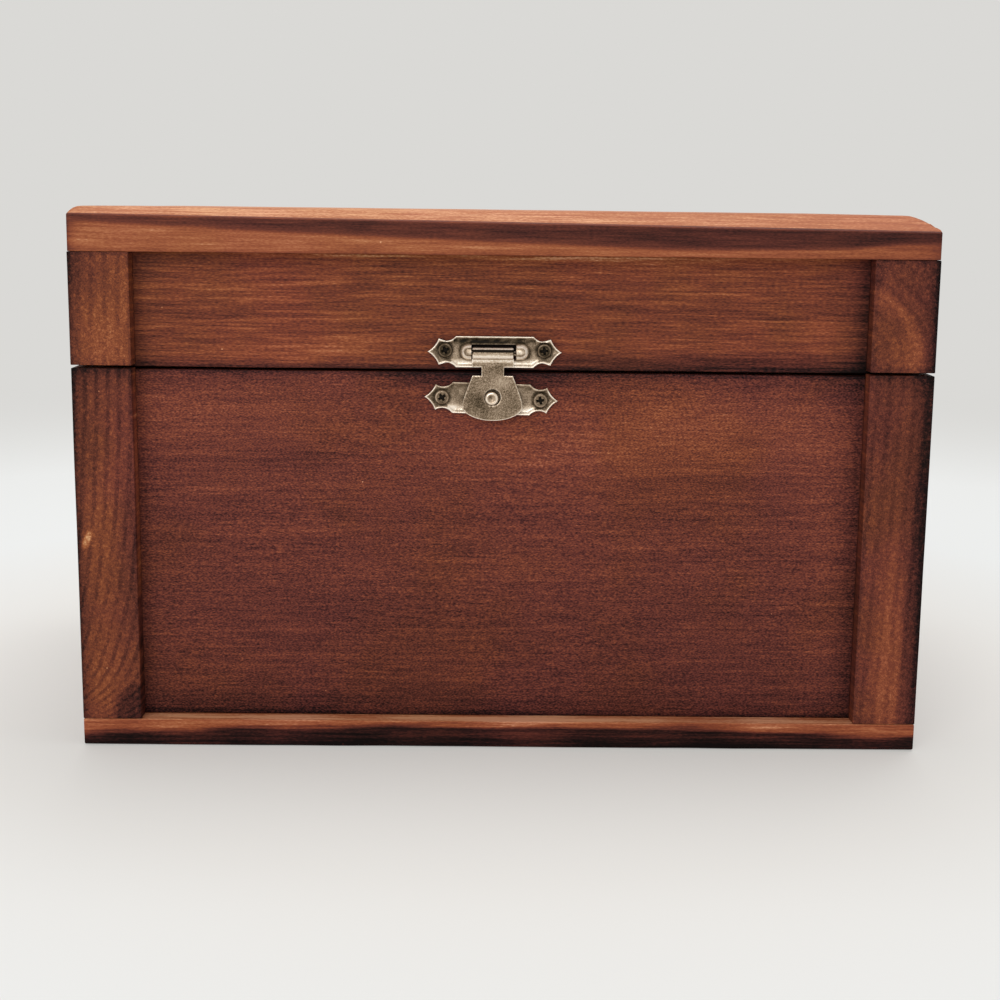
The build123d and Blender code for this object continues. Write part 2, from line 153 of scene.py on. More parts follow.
def seenDirectly(tree):  # 1 for the camera, for reflections and through glass, and 0 for the light itself
    path = newNode(tree, "LightPath").outputs
    mirrored = mathNode(tree, "MAXIMUM", path["Is Camera Ray"], path["Is Glossy Ray"])
    return mathNode(tree, "MAXIMUM", mirrored, path["Is Transmission Ray"])


def makeRoom(studio):
    world = bpy.data.worlds.new("room")
    bpy.context.scene.world = world
    tree = clearedTree(world)
    light = newNode(tree, "Background", {"Color": (*studio["roomColor"], 1), "Strength": studio["roomLight"]})
    seen = newNode(tree, "Background", {"Color": paint(*studio["seenColor"]), "Strength": 1.0})
    both = newNode(tree, "MixShader", {0: seenDirectly(tree), 1: light.outputs[0], 2: seen.outputs[0]})
    newNode(tree, "OutputWorld", {"Surface": both.outputs[0]})
    addLamp("topLamp", studio["topPlace"], studio["topSize"], studio["topPower"])
    addLamp("frontLamp", studio["frontPlace"], studio["frontSize"], studio["frontPower"])


def makeFloor(look):  # a plain square just under the box, fading into the room's colour far away
    reach = look["reach"]
    mesh = bpy.data.meshes.new("floor")
    corners = np.array([(-1, -1, 0), (1, -1, 0), (1, 1, 0), (-1, 1, 0)]) * (reach, reach, 1)
    mesh.from_pydata((corners - (0, 0, 0.0001)).tolist(), [], [(0, 1, 2, 3)])
    floor = bpy.data.objects.new("floor", mesh)
    bpy.context.scene.collection.objects.link(floor)
    material = bpy.data.materials.new("paperFloor")
    tree = clearedTree(material)
    place = newNode(tree, "TexCoord").outputs["Object"]
    away = newNode(tree, "VectorMath", {0: place}, operation="LENGTH").outputs["Value"]
    fade = eased(tree, away, look["fadeFrom"], look["fadeTo"])
    # near the box the floor still shows this share of the room's colour, a painted light that makes the box's
    # shadow paler
    amount = mathNode(tree, "MULTIPLY", mathNode(tree, "MAXIMUM", fade, look["glow"]), seenDirectly(tree))
    shade = newNode(tree, "ValToRGB", {"Fac": away})
    fillRamp(shade.color_ramp, look["shades"])
    paper = newNode(tree, "BsdfDiffuse", {"Color": shade.outputs["Color"]})
    room = newNode(tree, "Emission", {"Color": paint(*studio["seenColor"]), "Strength": 1.0})
    both = newNode(tree, "MixShader", {0: amount, 1: paper.outputs[0], 2: room.outputs[0]})
    newNode(tree, "OutputMaterial", {"Surface": both.outputs[0]})
    mesh.materials.append(material)
    floor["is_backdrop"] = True


bpy.context.scene.view_settings.view_transform = "Standard"
aimCamera(shot)
makeRoom(studio)
makeFloor(floorLook)
print("camera, lamps and floor are in place")


# Shades of the stain, from where it pooled to where it was planed away
stainShades = [
    (0.00, (15, 8, 8)), (0.15, (42, 22, 21)), (0.32, (78, 39, 33)), (0.48, (106, 55, 43)),
    (0.60, (128, 67, 46)), (0.74, (154, 87, 58)), (0.86, (176, 110, 76)), (1.00, (214, 158, 122)),
]


def lookUp(tree, name):
    return newNode(tree, "Attribute", attribute_name=name).outputs["Fac"]


def sumOf(tree, *terms):  # adds up values and triples of value, factor, offset as factor * (value + offset)
    total = None
    for term in terms:
        if isinstance(term, tuple):
            value, factor, offset = term
            term = mathNode(tree, "MULTIPLY", mathNode(tree, "ADD", value, offset), factor)
        total = term if total is None else mathNode(tree, "ADD", total, term)
    return total


def grained(tree, place, axis, alongScale, acrossScale, detail=2.0, rough=0.6, shift=(0.0, 0.0, 0.0)):
    # noise drawn out along the grain: few features per metre that way, many across it
    scales = [acrossScale] * 3
    scales["XYZ".index(axis)] = alongScale
    mapped = newNode(tree, "Mapping", {"Vector": place, "Location": shift, "Scale": scales})
    return noise(tree, mapped.outputs[0], 1.0, detail, rough)


def stainedWood(name, look):
    # one tone value picks the shade: base and marks + clouds + bands + streaks + fibres + pores - rings
    # - stain pooled at the rims + places rubbed pale + pale specks + fine lines
    material = bpy.data.materials.new(name)
    tree = clearedTree(material)
    axis = look["grain"]
    shift = look["shift"]
    place = newNode(tree, "TexCoord").outputs["Object"]
    wander = newNode(tree, "TexNoise", {"Vector": place, "Scale": look["warpScale"], "Detail": 1.0})
    offset = (-0.5, -0.5, -0.5)
    centred = newNode(tree, "VectorMath", {0: wander.outputs["Color"], 1: offset}, operation="ADD")
    bent = newNode(
        tree, "VectorMath", {0: centred.outputs[0], 1: [look["warp"]] * 3, 2: place}, operation="MULTIPLY_ADD"
    ).outputs[0]
    clouds = grained(tree, bent, axis, 9.0, 26.0, 2.0, 0.5, shift)
    bands = grained(tree, bent, axis, 4.0, 260.0, 2.0, 0.55, shift)
    streaks = grained(tree, place, axis, 38.0, 1100.0, 2.0, 0.6, shift)
    fibres = grained(tree, bent, axis, look["fibreLong"], 2500.0, 2.0, 0.6, shift)
    lines = eased(tree, grained(tree, bent, axis, 45.0, 1300.0, 2.0, 0.6, shift), 0.50, 0.62)
    pores = grained(tree, place, axis, look["poreLong"], 5600.0, 1.0, 0.5, shift)
    years = lookUp(tree, "ring")
    phase = sumOf(tree, (years, 2 * math.pi, 0.0), (streaks, 1.2, -0.5), (clouds, look["ringWander"], -0.5))
    wave = newNode(tree, "Math", {0: phase}, operation="SINE").outputs[0]
    rings = eased(tree, wave, look["ringFrom"], 1.0)
    ringLines = mathNode(tree, "MULTIPLY", rings, eased(tree, bands, 0.3, 0.6))
    rim = sumOf(
        tree, lookUp(tree, "rim"),
        (clouds, look["rimWander"], -0.5), (streaks, look["rimRough"], -0.5),
        (fibres, look["rimRough"], -0.5),
    )
    pooled = eased(tree, rim, 0.0, look["rimWidth"], 1.0, 0.0)
    rubbed = eased(tree, rim, -0.1, look["rubWidth"], 1.0, 0.0)
    rubbedSpots = mathNode(tree, "MULTIPLY", rubbed, eased(tree, bands, 0.45, 0.62))
    overBand = sumOf(tree, lookUp(tree, "band"), (streaks, 1.1, -0.5), (fibres, 0.8, -0.5))
    band = eased(tree, overBand, -look["bandSoft"], look["bandSoft"])
    dots = newNode(tree, "TexVoronoi", {"Vector": place, "Scale": look["speckScale"]})
    lot = newNode(tree, "SeparateColor", {"Color": dots.outputs["Color"]}).outputs[0]
    inDot = eased(tree, dots.outputs["Distance"], 0.015, 0.05, 1.0, 0.0)
    specks = mathNode(tree, "MULTIPLY", eased(tree, lot, 0.90, 0.91), inDot)
    tone = sumOf(
        tree, lookUp(tree, "tone"),
        (clouds, look["cloudDepth"], -0.5), (bands, look["bandDepth"], -0.5),
        (streaks, look["streakDepth"], -0.5), (fibres, look["fibreDepth"], -0.5),
        (pores, look["poreDepth"], -0.5), (ringLines, -look["ringDepth"], -0.25),
        (pooled, -look["rimDepth"], 0.0), (rubbedSpots, look["rubDepth"], 0.0),
        (band, look["bandTone"], 0.0), (specks, look["speckTone"], 0.0), (lines, look["lineDepth"], -0.25),
    )
    shades = newNode(tree, "ValToRGB", {"Fac": tone})
    fillRamp(shades.color_ramp, stainShades)
    blush = eased(tree, noise(tree, bent, 30.0, 3.0, 0.6), 0.38, 0.62)
    tinted = newNode(tree, "Mix", {"Factor": blush, 6: look["tint"], 7: look["otherTint"]}, data_type="RGBA")
    colour = newNode(
        tree, "Mix", {"Factor": 1.0, 6: shades.outputs["Color"], 7: tinted.outputs[2]},
        data_type="RGBA", blend_type="MULTIPLY",
    )
    height = sumOf(tree, (fibres, 0.5, 0.0), (streaks, 0.3, 0.0), (pores, 0.25, 0.0), (ringLines, -0.15, 0.0))
    bump = newNode(tree, "Bump", {"Height": height, "Strength": look["bump"], "Distance": 0.00012})
    gloss = sumOf(tree, (fibres, 0.25, 1.55), (bands, 0.12, -0.5))
    skin = newNode(
        tree, "BsdfPrincipled",
        {"Base Color": colour.outputs[2], "Roughness": gloss, "Normal": bump.outputs[0],
         "Specular IOR Level": look["sheen"]},
    )
    newNode(tree, "OutputMaterial", {"Surface": skin.outputs[0]})
    return material


def bell(value, middle, width):  # 1 at the middle, falling away on both sides
    return np.exp(-((value - middle) / width) ** 2)


def ripple(points, length, seed):  # six long waves in random directions added up, from -1 to 1
    draw = np.random.default_rng(seed)
    waves = draw.normal(size=(3, 6))
    waves *= 2 * np.pi / length / np.linalg.norm(waves, axis=0) * draw.uniform(0.5, 1.5, 6)
    return np.clip(np.sin(points @ waves + draw.uniform(0, 2 * np.pi, 6)).mean(1) * 1.6, -1, 1)


def gridLines(low, high, step, edge, cuts):  # even lines, finer ones in the rounded edges, and the cuts
    near = edge * np.array([0.0, 0.08, 0.25, 0.55, 1.0])
    count = max(2, round((high - low - 2 * edge) / step) + 1)
    lines = np.concatenate([low + near, np.linspace(low + edge, high - edge, count), high - near, cuts])
    return np.unique(np.round(lines, 5))


def blockSkin(lines, hollows):
    # a block of cells between grid lines, less the hollows: faces lie where a full cell meets an empty one
    middles = [(line[1:] + line[:-1]) / 2 for line in lines]
    cells = np.meshgrid(*middles, indexing="ij")
    full = np.ones(cells[0].shape, bool)
    for low, high in hollows:
        inside = [(low[a] < cells[a]) & (cells[a] < high[a]) for a in range(3)]
        full &= ~(inside[0] & inside[1] & inside[2])
    sizes = [len(line) for line in lines]
    padded = np.pad(full, 1).astype(np.int8)
    faces = []
    for a in range(3):
        b, c = (a + 1) % 3, (a + 2) % 3
        change = np.diff(padded, axis=a)
        inner = [slice(1, -1)] * 3
        inner[a] = slice(None)
        change = change[tuple(inner)]
        for sign in (1, -1):
            corner = np.argwhere(change == -sign)
            turns = [(0, 0), (1, 0), (1, 1), (0, 1)][::sign]
            quad = []
            for stepB, stepC in turns:
                index = corner.copy()
                index[:, b] += stepB
                index[:, c] += stepC
                quad.append(np.ravel_multi_index(index.T, sizes))
            faces.append(np.stack(quad, 1))
    faces = np.concatenate(faces)
    used, faces = np.unique(faces, return_inverse=True)
    points = np.stack([axis.ravel()[used] for axis in np.meshgrid(*lines, indexing="ij")], 1)
    return points, faces.reshape(-1, 4)


def roundEdges(points, low, high, radius):  # pulls what sticks out of the inner box back to a radius from it
    radius = radius[:, None]
    inner = np.clip(points, low + radius, high - radius)
    away = points - inner
    length = np.linalg.norm(away, axis=1, keepdims=True)
    return inner + away * np.minimum(1, radius / np.maximum(length, 1e-9))


def rimDistance(points, low, high):  # how far it is from a point, along its face, to that face's nearest edge
    gaps = np.minimum(points - low, high - points)
    return np.sort(np.maximum(gaps, 0), axis=1)[:, 1]


def marksAt(points, marks, frontY):
    # adds up the marks of stain and of painted shade and light, which all fade away behind the front: soft
    # spots, blots with a clear edge, leaning scuffs, arcs, and lines at one x or one z
    x, y, z = points.T
    total = np.zeros(len(points))
    for kind, *sizes in marks:
        if kind in ("spot", "blot"):
            spotX, spotZ, wide, tall, amount = sizes
            reach = np.hypot((x - spotX) / wide, (z - spotZ) / tall)
            strength = bell(reach, 0, 1) if kind == "spot" else np.clip((1.12 - reach) / 0.24, 0, 1)
            total += amount * strength
        elif kind == "scuff":
            spotX, spotZ, wide, tall, lean, amount = sizes
            across = (x - spotX) * math.cos(lean) - (z - spotZ) * math.sin(lean)
            along = (x - spotX) * math.sin(lean) + (z - spotZ) * math.cos(lean)
            total += amount * np.clip((1.3 - np.hypot(across / wide, along / tall)) / 0.6, 0, 1)
        elif kind == "arc":
            middleX, middleZ, radius, wide, amount = sizes
            total += amount * bell(np.hypot(x - middleX, z - middleZ), radius, wide)
        else:
            spot, fade, amount = sizes
            total += amount * np.exp(-np.abs((x if kind == "x" else z) - spot) / fade)
    return total * np.exp(-np.maximum(y - frontY, 0) / 1.2)


def makePiece(name, points, faces, body, stoodFor, material, values):
    # a mesh of points in millimetres, with one number for each point under each name in the values
    mesh = bpy.data.meshes.new(name)
    mesh.vertices.add(len(points))
    mesh.vertices.foreach_set("co", (points * mm).astype(np.float32).ravel())
    mesh.loops.add(faces.size)
    mesh.loops.foreach_set("vertex_index", faces.astype(np.int32).ravel())
    mesh.polygons.add(len(faces))
    corners = faces.shape[1]
    mesh.polygons.foreach_set("loop_start", np.arange(0, faces.size, corners, dtype=np.int32))
    mesh.polygons.foreach_set("loop_total", np.full(len(faces), corners, np.int32))
    mesh.polygons.foreach_set("use_smooth", np.ones(len(faces), bool))
    mesh.update(calc_edges=True)
    mesh.validate()
    for title, data in values.items():
        attribute = mesh.attributes.new(title, "FLOAT", "POINT")
        attribute.data.foreach_set("value", data.astype(np.float32))
    mesh.materials.append(material)
    piece = bpy.data.objects.new(name, mesh)
    bpy.context.scene.collection.objects.link(piece)
    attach(piece, body)
    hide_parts(*stoodFor)
    return piece


plainWood = dict(
    grain="X", shift=(0.0, 0.0, 0.0), ringWander=1.5, ringFrom=-0.2, ringDepth=0.0, warp=0.003, warpScale=9.0,
    cloudDepth=0.18, bandDepth=0.16, streakDepth=0.22, lineDepth=0.10, fibreDepth=0.60, poreDepth=0.65,
    fibreLong=110.0, poreLong=1300.0,
    rimWander=2.0, rimRough=1.0, rimWidth=1.4, rimDepth=0.07, rubWidth=0.35, rubDepth=0.10,
    bandTone=0.0, bandSoft=0.75, speckScale=260.0, speckTone=0.45, bump=0.35, sheen=0.06, sag=0.06,
    tint=(0.95, 1.0, 0.86, 1.0), otherTint=(1.0, 0.97, 1.06, 1.0),
)


def nodeBox(node):  # the corners of a piece of the frame, in millimetres
    low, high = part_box(node)
    return np.array(low) / mm, np.array(high) / mm


def makeBoard(
    node, body, look, steps, edge, tone, seed,
    marks=(), hollows=(), cuts=((), (), ()), shape=None, band=None, rings=None,
):
    # a block of grid cells with rounded, worn edges; tone, band and rings are worked out for each point of it
    low, high = nodeBox(node)
    look = {**plainWood, **look}
    lines = [gridLines(low[a], high[a], steps[a], edge, cuts[a]) for a in range(3)]
    flat, faces = blockSkin(lines, hollows)
    wear = edge * (0.72 + 0.28 * ripple(flat, 14.0, seed))
    points = roundEdges(flat, low, high, wear)
    outward = (points - (low + high) / 2) / ((high - low) / 2)
    sag = look["sag"] * (0.5 + 0.5 * ripple(flat, 37.0, seed + 1))
    points -= np.sign(outward) * np.abs(outward) ** 8 * sag[:, None]
    if shape:
        points = shape(points)
    values = {
        "rim": rimDistance(flat, low, high),
        "tone": tone(flat) if callable(tone) else tone + marksAt(flat, marks, low[1]),
        "band": band(flat) if band else np.zeros(len(flat)),
        "ring": rings(flat) if rings else np.zeros(len(flat)),
    }
    name = "".join(word.capitalize() if i else word for i, word in enumerate(node.split("_")))
    material = stainedWood(name + "Wood", look)
    makePiece(name, points, faces, body, [node], material, values)


boxFront = round(float(nodeBox("bottom_board")[0][1]), 4)
panelFront = round(float(nodeBox("base_front_panel")[0][1]), 4)
frontFace = boxFront + 0.8  # points before this line get the front's own pattern

# Front panels, with painted shade in the corners of the recess and along the seam
makeBoard(
    "base_front_panel", "base",
    dict(
        shift=(0.31, 0.12, 0.07), cloudDepth=0.16, bandDepth=0.10, streakDepth=0.11, lineDepth=0.05,
        fibreDepth=0.38, poreDepth=0.9, poreLong=2200.0, tint=(0.97, 0.98, 0.94, 1.0),
        otherTint=(0.98, 0.97, 1.13, 1.0),
    ),
    (1.2, 2.0, 0.9), 0.3, tone=0.455, seed=11,
    marks=[
        # painted shade: above the seam, at the panel's foot by the ledge, in the recess's corners, and by the
        # lower plate's top (partly old stain round the latch)
        ("z", 74.1, 1.3, -0.18), ("z", 5.3, 1.0, -0.18), ("x", -70.7, 2.2, -0.05), ("x", 69.8, 2.6, -0.18),
        ("spot", -4, 73, 15, 1.6, -0.22), ("spot", -30, 72.8, 10, 1.6, 0.12), ("spot", -45, 64, 26, 5, 0.04),
        ("spot", -38, 58, 13, 3, -0.06), ("spot", -66, 66, 8, 5, 0.05), ("spot", 4, 58, 12, 4.5, 0.05),
        ("spot", 25, 60, 34, 6.5, 0.13), ("spot", 38, 66, 26, 4, 0.08), ("spot", 61, 60, 8, 8, 0.05),
        ("spot", 66, 70.5, 4, 3, -0.10), ("spot", 64, 36, 5, 24, 0.07), ("spot", -25, 24, 22, 8, -0.05),
        ("spot", 40, 20, 50, 20, -0.05), ("spot", 20, 8, 80, 6, -0.06), ("spot", -45, 6.5, 45, 4, -0.10),
    ],
)
makeBoard(
    "lid_front_panel", "lid",
    dict(shift=(0.83, 0.42, 0.23), cloudDepth=0.14, bandDepth=0.28, otherTint=(1.02, 0.97, 0.98, 1.0)),
    (1.2, 2.0, 0.7), 0.3, tone=0.53, seed=12,
    marks=[
        # painted light along the top edge, lifting the shade under the top board; painted shade above the
        # seam and in the recess's corners
        ("z", 96.3, 0.8, 0.14), ("spot", 5, 96.2, 62, 0.55, 0.26), ("z", 74.6, 1.1, -0.25),
        ("x", -70.7, 2.2, -0.06), ("x", 69.8, 2.0, -0.36), ("spot", -69, 94.5, 4, 3, -0.08),
        ("spot", -68, 75.5, 4, 1.5, -0.08), ("spot", -45, 92, 26, 4, 0.04),
        ("spot", -5, 90.6, 30, 2.2, -0.08), ("spot", 32, 94, 26, 2.2, 0.09), ("spot", -45, 79.5, 26, 3, 0.09),
        ("spot", -35, 77.2, 16, 1.3, 0.09), ("spot", 35, 82, 26, 3, 0.02), ("spot", 45, 76.3, 42, 1.3, -0.16),
        # a soft painted shadow with old stain round the upper plate, and a dark painted blot where the shaded
        # inside of the housing shows through its window
        ("spot", -1.8, 79, 14.5, 4.5, -0.13), ("blot", -2.2, 78.8, 4.8, 2.0, -0.9),
    ],
)
for node, body in (("base_back_panel", "base"), ("lid_back_panel", "lid")):
    makeBoard(node, body, dict(shift=(0.2, 0.9, 0.5)), (1.4, 2.0, 1.2), 0.3, tone=0.47, seed=13)

# Side boards, with a groove for the front panel and a rabbet for the back one
grooves = dict(left=(-73.95, -70.75), right=(69.85, 73.05), front=panelFront, back=-45.0, rabbet=49.0)


def straightRings(pitch, shift, leanings=((0, 0), (100, 0))):
    # years counted across a board's end: x, less how far the lines have leant by that height, over the pitch
    heights, sideways = np.array(leanings).T

    def rings(points):
        x, y, z = points.T
        wander = 0.25 * ripple(points * (1, 0.05, 1), 22.0, 5)
        return (x - np.interp(z, heights, sideways) + wander) / pitch + shift
    return rings


def roundRings(pitch, pithX, pithZ, shift):  # years counted outwards from a pith
    def rings(points):
        x, y, z = points.T
        wander = 0.4 * ripple(points * (1, 0.05, 1), 16.0, 8)
        return (np.hypot(x - pithX, z - pithZ) + wander) / pitch + shift
    return rings


leftLines = ((0, -26), (6, -17), (9, -12), (12, -8.5), (16, -6), (22, -4), (32, -1.6), (48, 0.6), (75, 2.0))
# The marks in z along the seam and under the top board are painted shade.
sideBoards = {  # inner: painted shade of the recess's side low down, the painted shade above, and the height of the change
    "base_side_left": dict(
        look=dict(shift=(0.1, 0.3, 0.7), ringDepth=0.15), tone=0.52, inner=(-0.22, 0.10, 36),
        rings=straightRings(2.2, 0.3, leftLines),
        marks=[
            ("x", -82.2, 1.0, -0.28), ("z", 74.6, 2.2, -0.26), ("blot", -71.4, 6.4, 4.4, 6.0, -0.26),
            ("spot", -76, 66, 9, 9, -0.06), ("spot", -71.6, 38, 2.8, 20, -0.15),
            ("spot", -79.5, 58, 3, 6, -0.06), ("spot", -77, 40, 3, 16, 0.04),
            ("spot", -78.5, 12, 2.6, 8, 0.05), ("spot", -82, 70, 5, 12, -0.04),
            ("scuff", -80.3, 41.4, 0.7, 1.9, 0.4, 0.38),
        ],
        fineX=np.arange(-82.0, -78.6, 0.2), fineZ=np.arange(38.4, 44.4, 0.3),
    ),
    "base_side_right": dict(
        look=dict(shift=(0.5, 0.3, 0.1), ringDepth=0.10), tone=0.49, inner=(-0.04, 0.0, 60),
        rings=straightRings(2.4, 0.1, ((0, -1), (75, 1.5))),
        marks=[
            ("spot", 82.4, 20, 2.6, 45, -0.30), ("spot", 82.4, 66, 3.4, 30, -0.24), ("z", 74.6, 2.0, -0.18),
            ("spot", 73, 64, 3.5, 9, -0.12), ("spot", 76, 48, 2.4, 18, 0.02),
            ("blot", 76.2, 18, 2.6, 26, 0.07), ("spot", 76.2, 14, 2.6, 16, 0.07),
            ("spot", 71.5, 46, 1.0, 22, 0.04), ("spot", 71, 24, 1.6, 22, -0.05),
        ],
    ),
    "lid_side_left": dict(
        look=dict(shift=(0.7, 0.1, 0.4), ringDepth=0.11), tone=0.56, inner=(0.0, 0.0, 110),
        rings=straightRings(2.5, 0.55, ((75, 0), (97, 0.6))),
        marks=[
            ("x", -82.2, 1.0, -0.28), ("z", 96.5, 1.2, -0.10), ("spot", -75, 79, 5, 6, 0.10),
            ("spot", -78, 92, 4, 4, -0.05), ("spot", -74, 75.4, 6, 0.8, -0.05),
            ("spot", -82.5, 94, 5, 6, -0.12),
        ],
    ),
    "lid_side_right": dict(
        look=dict(shift=(0.9, 0.6, 0.2), ringDepth=0.07), tone=0.47, inner=(-0.06, 0.0, 110),
        rings=roundRings(2.6, 65.0, 77.5, 0.2),
        marks=[
            ("x", 82.2, 1.2, -0.40), ("z", 96.5, 1.0, -0.12), ("arc", 65.0, 77.5, 13.6, 1.1, 0.14),
            ("spot", 77, 78, 4.0, 4.5, 0.10), ("spot", 79, 91, 4, 5, -0.05),
            ("spot", 70.6, 93, 1.2, 4, -0.10), ("z", 75.1, 0.8, -0.12),
        ],
    ),
}
for node, board in sideBoards.items():
    side = node.split("_")[2]
    low, high = nodeBox(node)
    near, far = grooves[side]
    hollows = [
        ((near, grooves["front"], low[2]), (far, grooves["back"], high[2])),
        ((near, grooves["rabbet"], low[2]), (far, high[1], high[2])),
    ]
    bottomOfGroove, face = (near, far) if side == "left" else (far, near)
    lowShade, highShade, change = board["inner"]

    def sideTone(points):  # the front's marks, and on the recess's side one shade low down and another above
        x, y, z = points.T
        inRecess = (np.abs(x - face) < 0.1) * np.clip((y - boxFront - 0.3) / 0.5, 0, 1)
        share = np.clip((change - z) / 12, 0, 1)
        inner = lowShade * share + highShade * (1 - share)
        # inRecess * inner is painted shade and light on the recess's side
        return board["tone"] + marksAt(points, board["marks"], boxFront) + inRecess * inner

    makeBoard(
        node, node.split("_")[0], dict(grain="Y", sag=0.08, fibreDepth=0.4, poreDepth=0.5, **board["look"]),
        (0.7, 1.4, 0.8), 0.24, sideTone, len(node), hollows=hollows, rings=board["rings"],
        cuts=(
            [bottomOfGroove, *board.get("fineX", ())],
            [grooves["front"], grooves["back"], grooves["rabbet"]],
            board.get("fineZ", ()),
        ),
    )


# Bottom board: light stripe above a dark one along its front edge
paleLine = dict(x=[-82, -76, -63, -34, 0, 30, 53, 73, 82], z=[2.4, 2.6, 3.05, 4.05, 4.2, 4.3, 3.65, 2.8, 2.6])
brads = dict(
    spots=[(low + high) / 2 for low, high in (nodeBox(f"bottom_brad_{count}") for count in range(1, 7))],
    wide=1.16, deep=0.7, wall=0.1,
)


def bottomBand(points):  # height above the wavy line between the stripes, which the front alone has
    x, y, z = points.T
    height = z - np.interp(x, paleLine["x"], paleLine["z"]) - 0.12 * np.sin(x / 4.3)
    return np.where(y < frontFace, height, 3.0)


def bottomTone(points):  # darkest low down, palest on the ledge's middle, a painted highlight of the light from above, dusty by the panel, darker inside
    x, y, z = points.T
    onTop = np.clip((z - 5.2) / 0.1, 0, 1)
    # the top faces, and most of all the ledge's middle, are painted paler: a painted highlight of the light
    # from above
    ledgeHighlight = onTop * bell(y, -53.2, 1.3) * (0.3 + 0.7 * bell(x, 5, 50))
    dust = onTop * bell(y, -51.3, 0.35) * (0.5 + 0.5 * ripple(points, 25.0, 3))
    patches = 0.05 * np.sin(x / 9.0 + 1) + 0.04 * np.sin(x / 3.7)
    fadedEnd = 0.12 * np.exp(-(x + 82) / 14) * np.clip(z / 1.5, 0, 1)
    front = 0.04 + 0.12 * np.clip((z - 0.5) / 2.5, 0, 1) + patches + fadedEnd
    inside = np.clip(y + 50, 0, 1) * (y < 49) * (np.abs(x) < 72) * (z > 5)
    around = (y > frontFace) * np.where(z > 5.2, 0, -0.28 + 0.20 * z / 5.3)
    return front + 0.10 * onTop + 0.28 * ledgeHighlight + 0.10 * dust - 0.30 * inside + around


def openForBrads(points):  # the underside is raised in a round spot at each brad, so that the sunk heads show
    raised = points.copy()
    for spot in brads["spots"]:
        away = np.hypot(points[:, 0] - spot[0], points[:, 1] - spot[1])
        share = np.clip((brads["wide"] + brads["wall"] - away) / brads["wall"], 0, 1)
        raised[:, 2] += brads["deep"] * share * (points[:, 2] < 0.2)
    return raised


aroundBrad = np.arange(-1.4, 1.41, 0.14)
acrossLines, alongLines = (np.ravel([spot[a] + aroundBrad for spot in brads["spots"]]) for a in (0, 1))
ledgeLines = [-53.8, -53.4, -52.4, -51.8, -51.6, -51.4, -51.2, -51.0]
makeBoard(
    "bottom_board", "base",
    dict(
        bandTone=0.54, rimDepth=0.0, rubDepth=0.05, shift=(0.4, 0.2, 0.9), streakDepth=0.6, lineDepth=0.05,
        fibreDepth=0.35, poreDepth=0.35, tint=(1.0, 0.95, 0.88, 1.0), otherTint=(1.0, 0.93, 0.95, 1.0),
    ),
    (1.2, 1.5, 0.5), 0.45, bottomTone, 21, cuts=(acrossLines, [*ledgeLines, *alongLines], []),
    shape=openForBrads, band=bottomBand,
)

# Top board: bevels planed by hand round its upper face, and a dark stripe along the front edge
bevel = dict(
    leftDrop=1.62, rightDrop=3.45, endDrop=2.9, backDrop=2.2, leftWide=0.6, rightWide=5.6, frontWide=5.5,
    lean=0.25, soft=0.10,
)
darkLine = dict(
    x=[-82, -76, -55, -35, -20, 0, 20, 30, 42, 53, 66, 74, 82],
    z=[103.5, 103.35, 102.4, 101.5, 100.85, 100.15, 99.3, 98.75, 98.8, 99.15, 99.6, 101.05, 101.5],
)


def planeBevels(points):
    # lowest of the top, two flat bevels and two rounded ends over each point, softened where they meet
    low, high = nodeBox("lid_top_board")
    x, y, z = points.T
    share = (x - low[0]) / (high[0] - low[0])
    frontDrop = bevel["leftDrop"] + (bevel["rightDrop"] - bevel["leftDrop"]) * share
    middleDrop = (bevel["leftDrop"] + bevel["rightDrop"]) / 2
    fromRight = np.clip(1 - (high[0] - x) / bevel["rightWide"], 0, 1)
    ceilings = np.stack([
        high[2] - bevel["lean"] * share,
        high[2] - frontDrop + (y - low[1]) * middleDrop / bevel["frontWide"],
        high[2] - bevel["backDrop"] + (high[1] - y) * bevel["backDrop"] / bevel["frontWide"],
        high[2] - bevel["leftDrop"] * np.exp(-(x - low[0]) / bevel["leftWide"]),
        high[2] - bevel["lean"] * share - (bevel["endDrop"] - bevel["lean"]) * fromRight ** 1.8,
    ])
    soft = bevel["soft"]
    lowest = -soft * np.log(np.exp(-(ceilings - high[2]) / soft).sum(0) / 2)
    ceiling = np.minimum(lowest + high[2], high[2])
    planed = points.copy()
    planed[:, 2] = low[2] + (z - low[2]) * (ceiling - low[2]) / (high[2] - low[2])
    return planed


def topBand(points):  # height above the lower edge of the dark stripe, which darkens slowly upwards
    x, y, z = points.T
    height = z - np.interp(x, darkLine["x"], darkLine["z"])
    return np.where(y < frontFace, np.where(height > 0, 0.6 * height, height), -9.0)


def topTone(points):  # planed bevels and top are pale, partly bare planed wood and partly a painted highlight of the light from above, darker to the right, the stripe is fainter to the left
    x, y, z = points.T
    onTop = np.clip((z - 104.6) / 0.3, 0, 1)
    ends = -0.14 * np.exp(-(82.2 - x) / 1.6) - 0.16 * np.exp(-np.abs(z - 96.6) / 0.5)
    leftEnd = -0.34 * np.exp(-(x + 82.2) / 1.0) * (z < 103.6)
    faint = 0.05 * np.clip(topBand(points) / 0.5, 0, 1) * np.clip(-x / 40, 0, 1)
    stain = -0.07 * bell(x, -35, 24) * bell(z, 98.3, 1.3) * (y < frontFace)
    cornerShade = -0.13 * np.exp(-(x + 82) / 16)
    # the top and its bevels are painted paler: planed wood with a painted highlight of the light from above
    planed = onTop * (0.14 - 0.0003 * x + cornerShade)
    return 0.74 - 0.0006 * x + planed + ends * (z < 101.5) + leftEnd + faint + stain


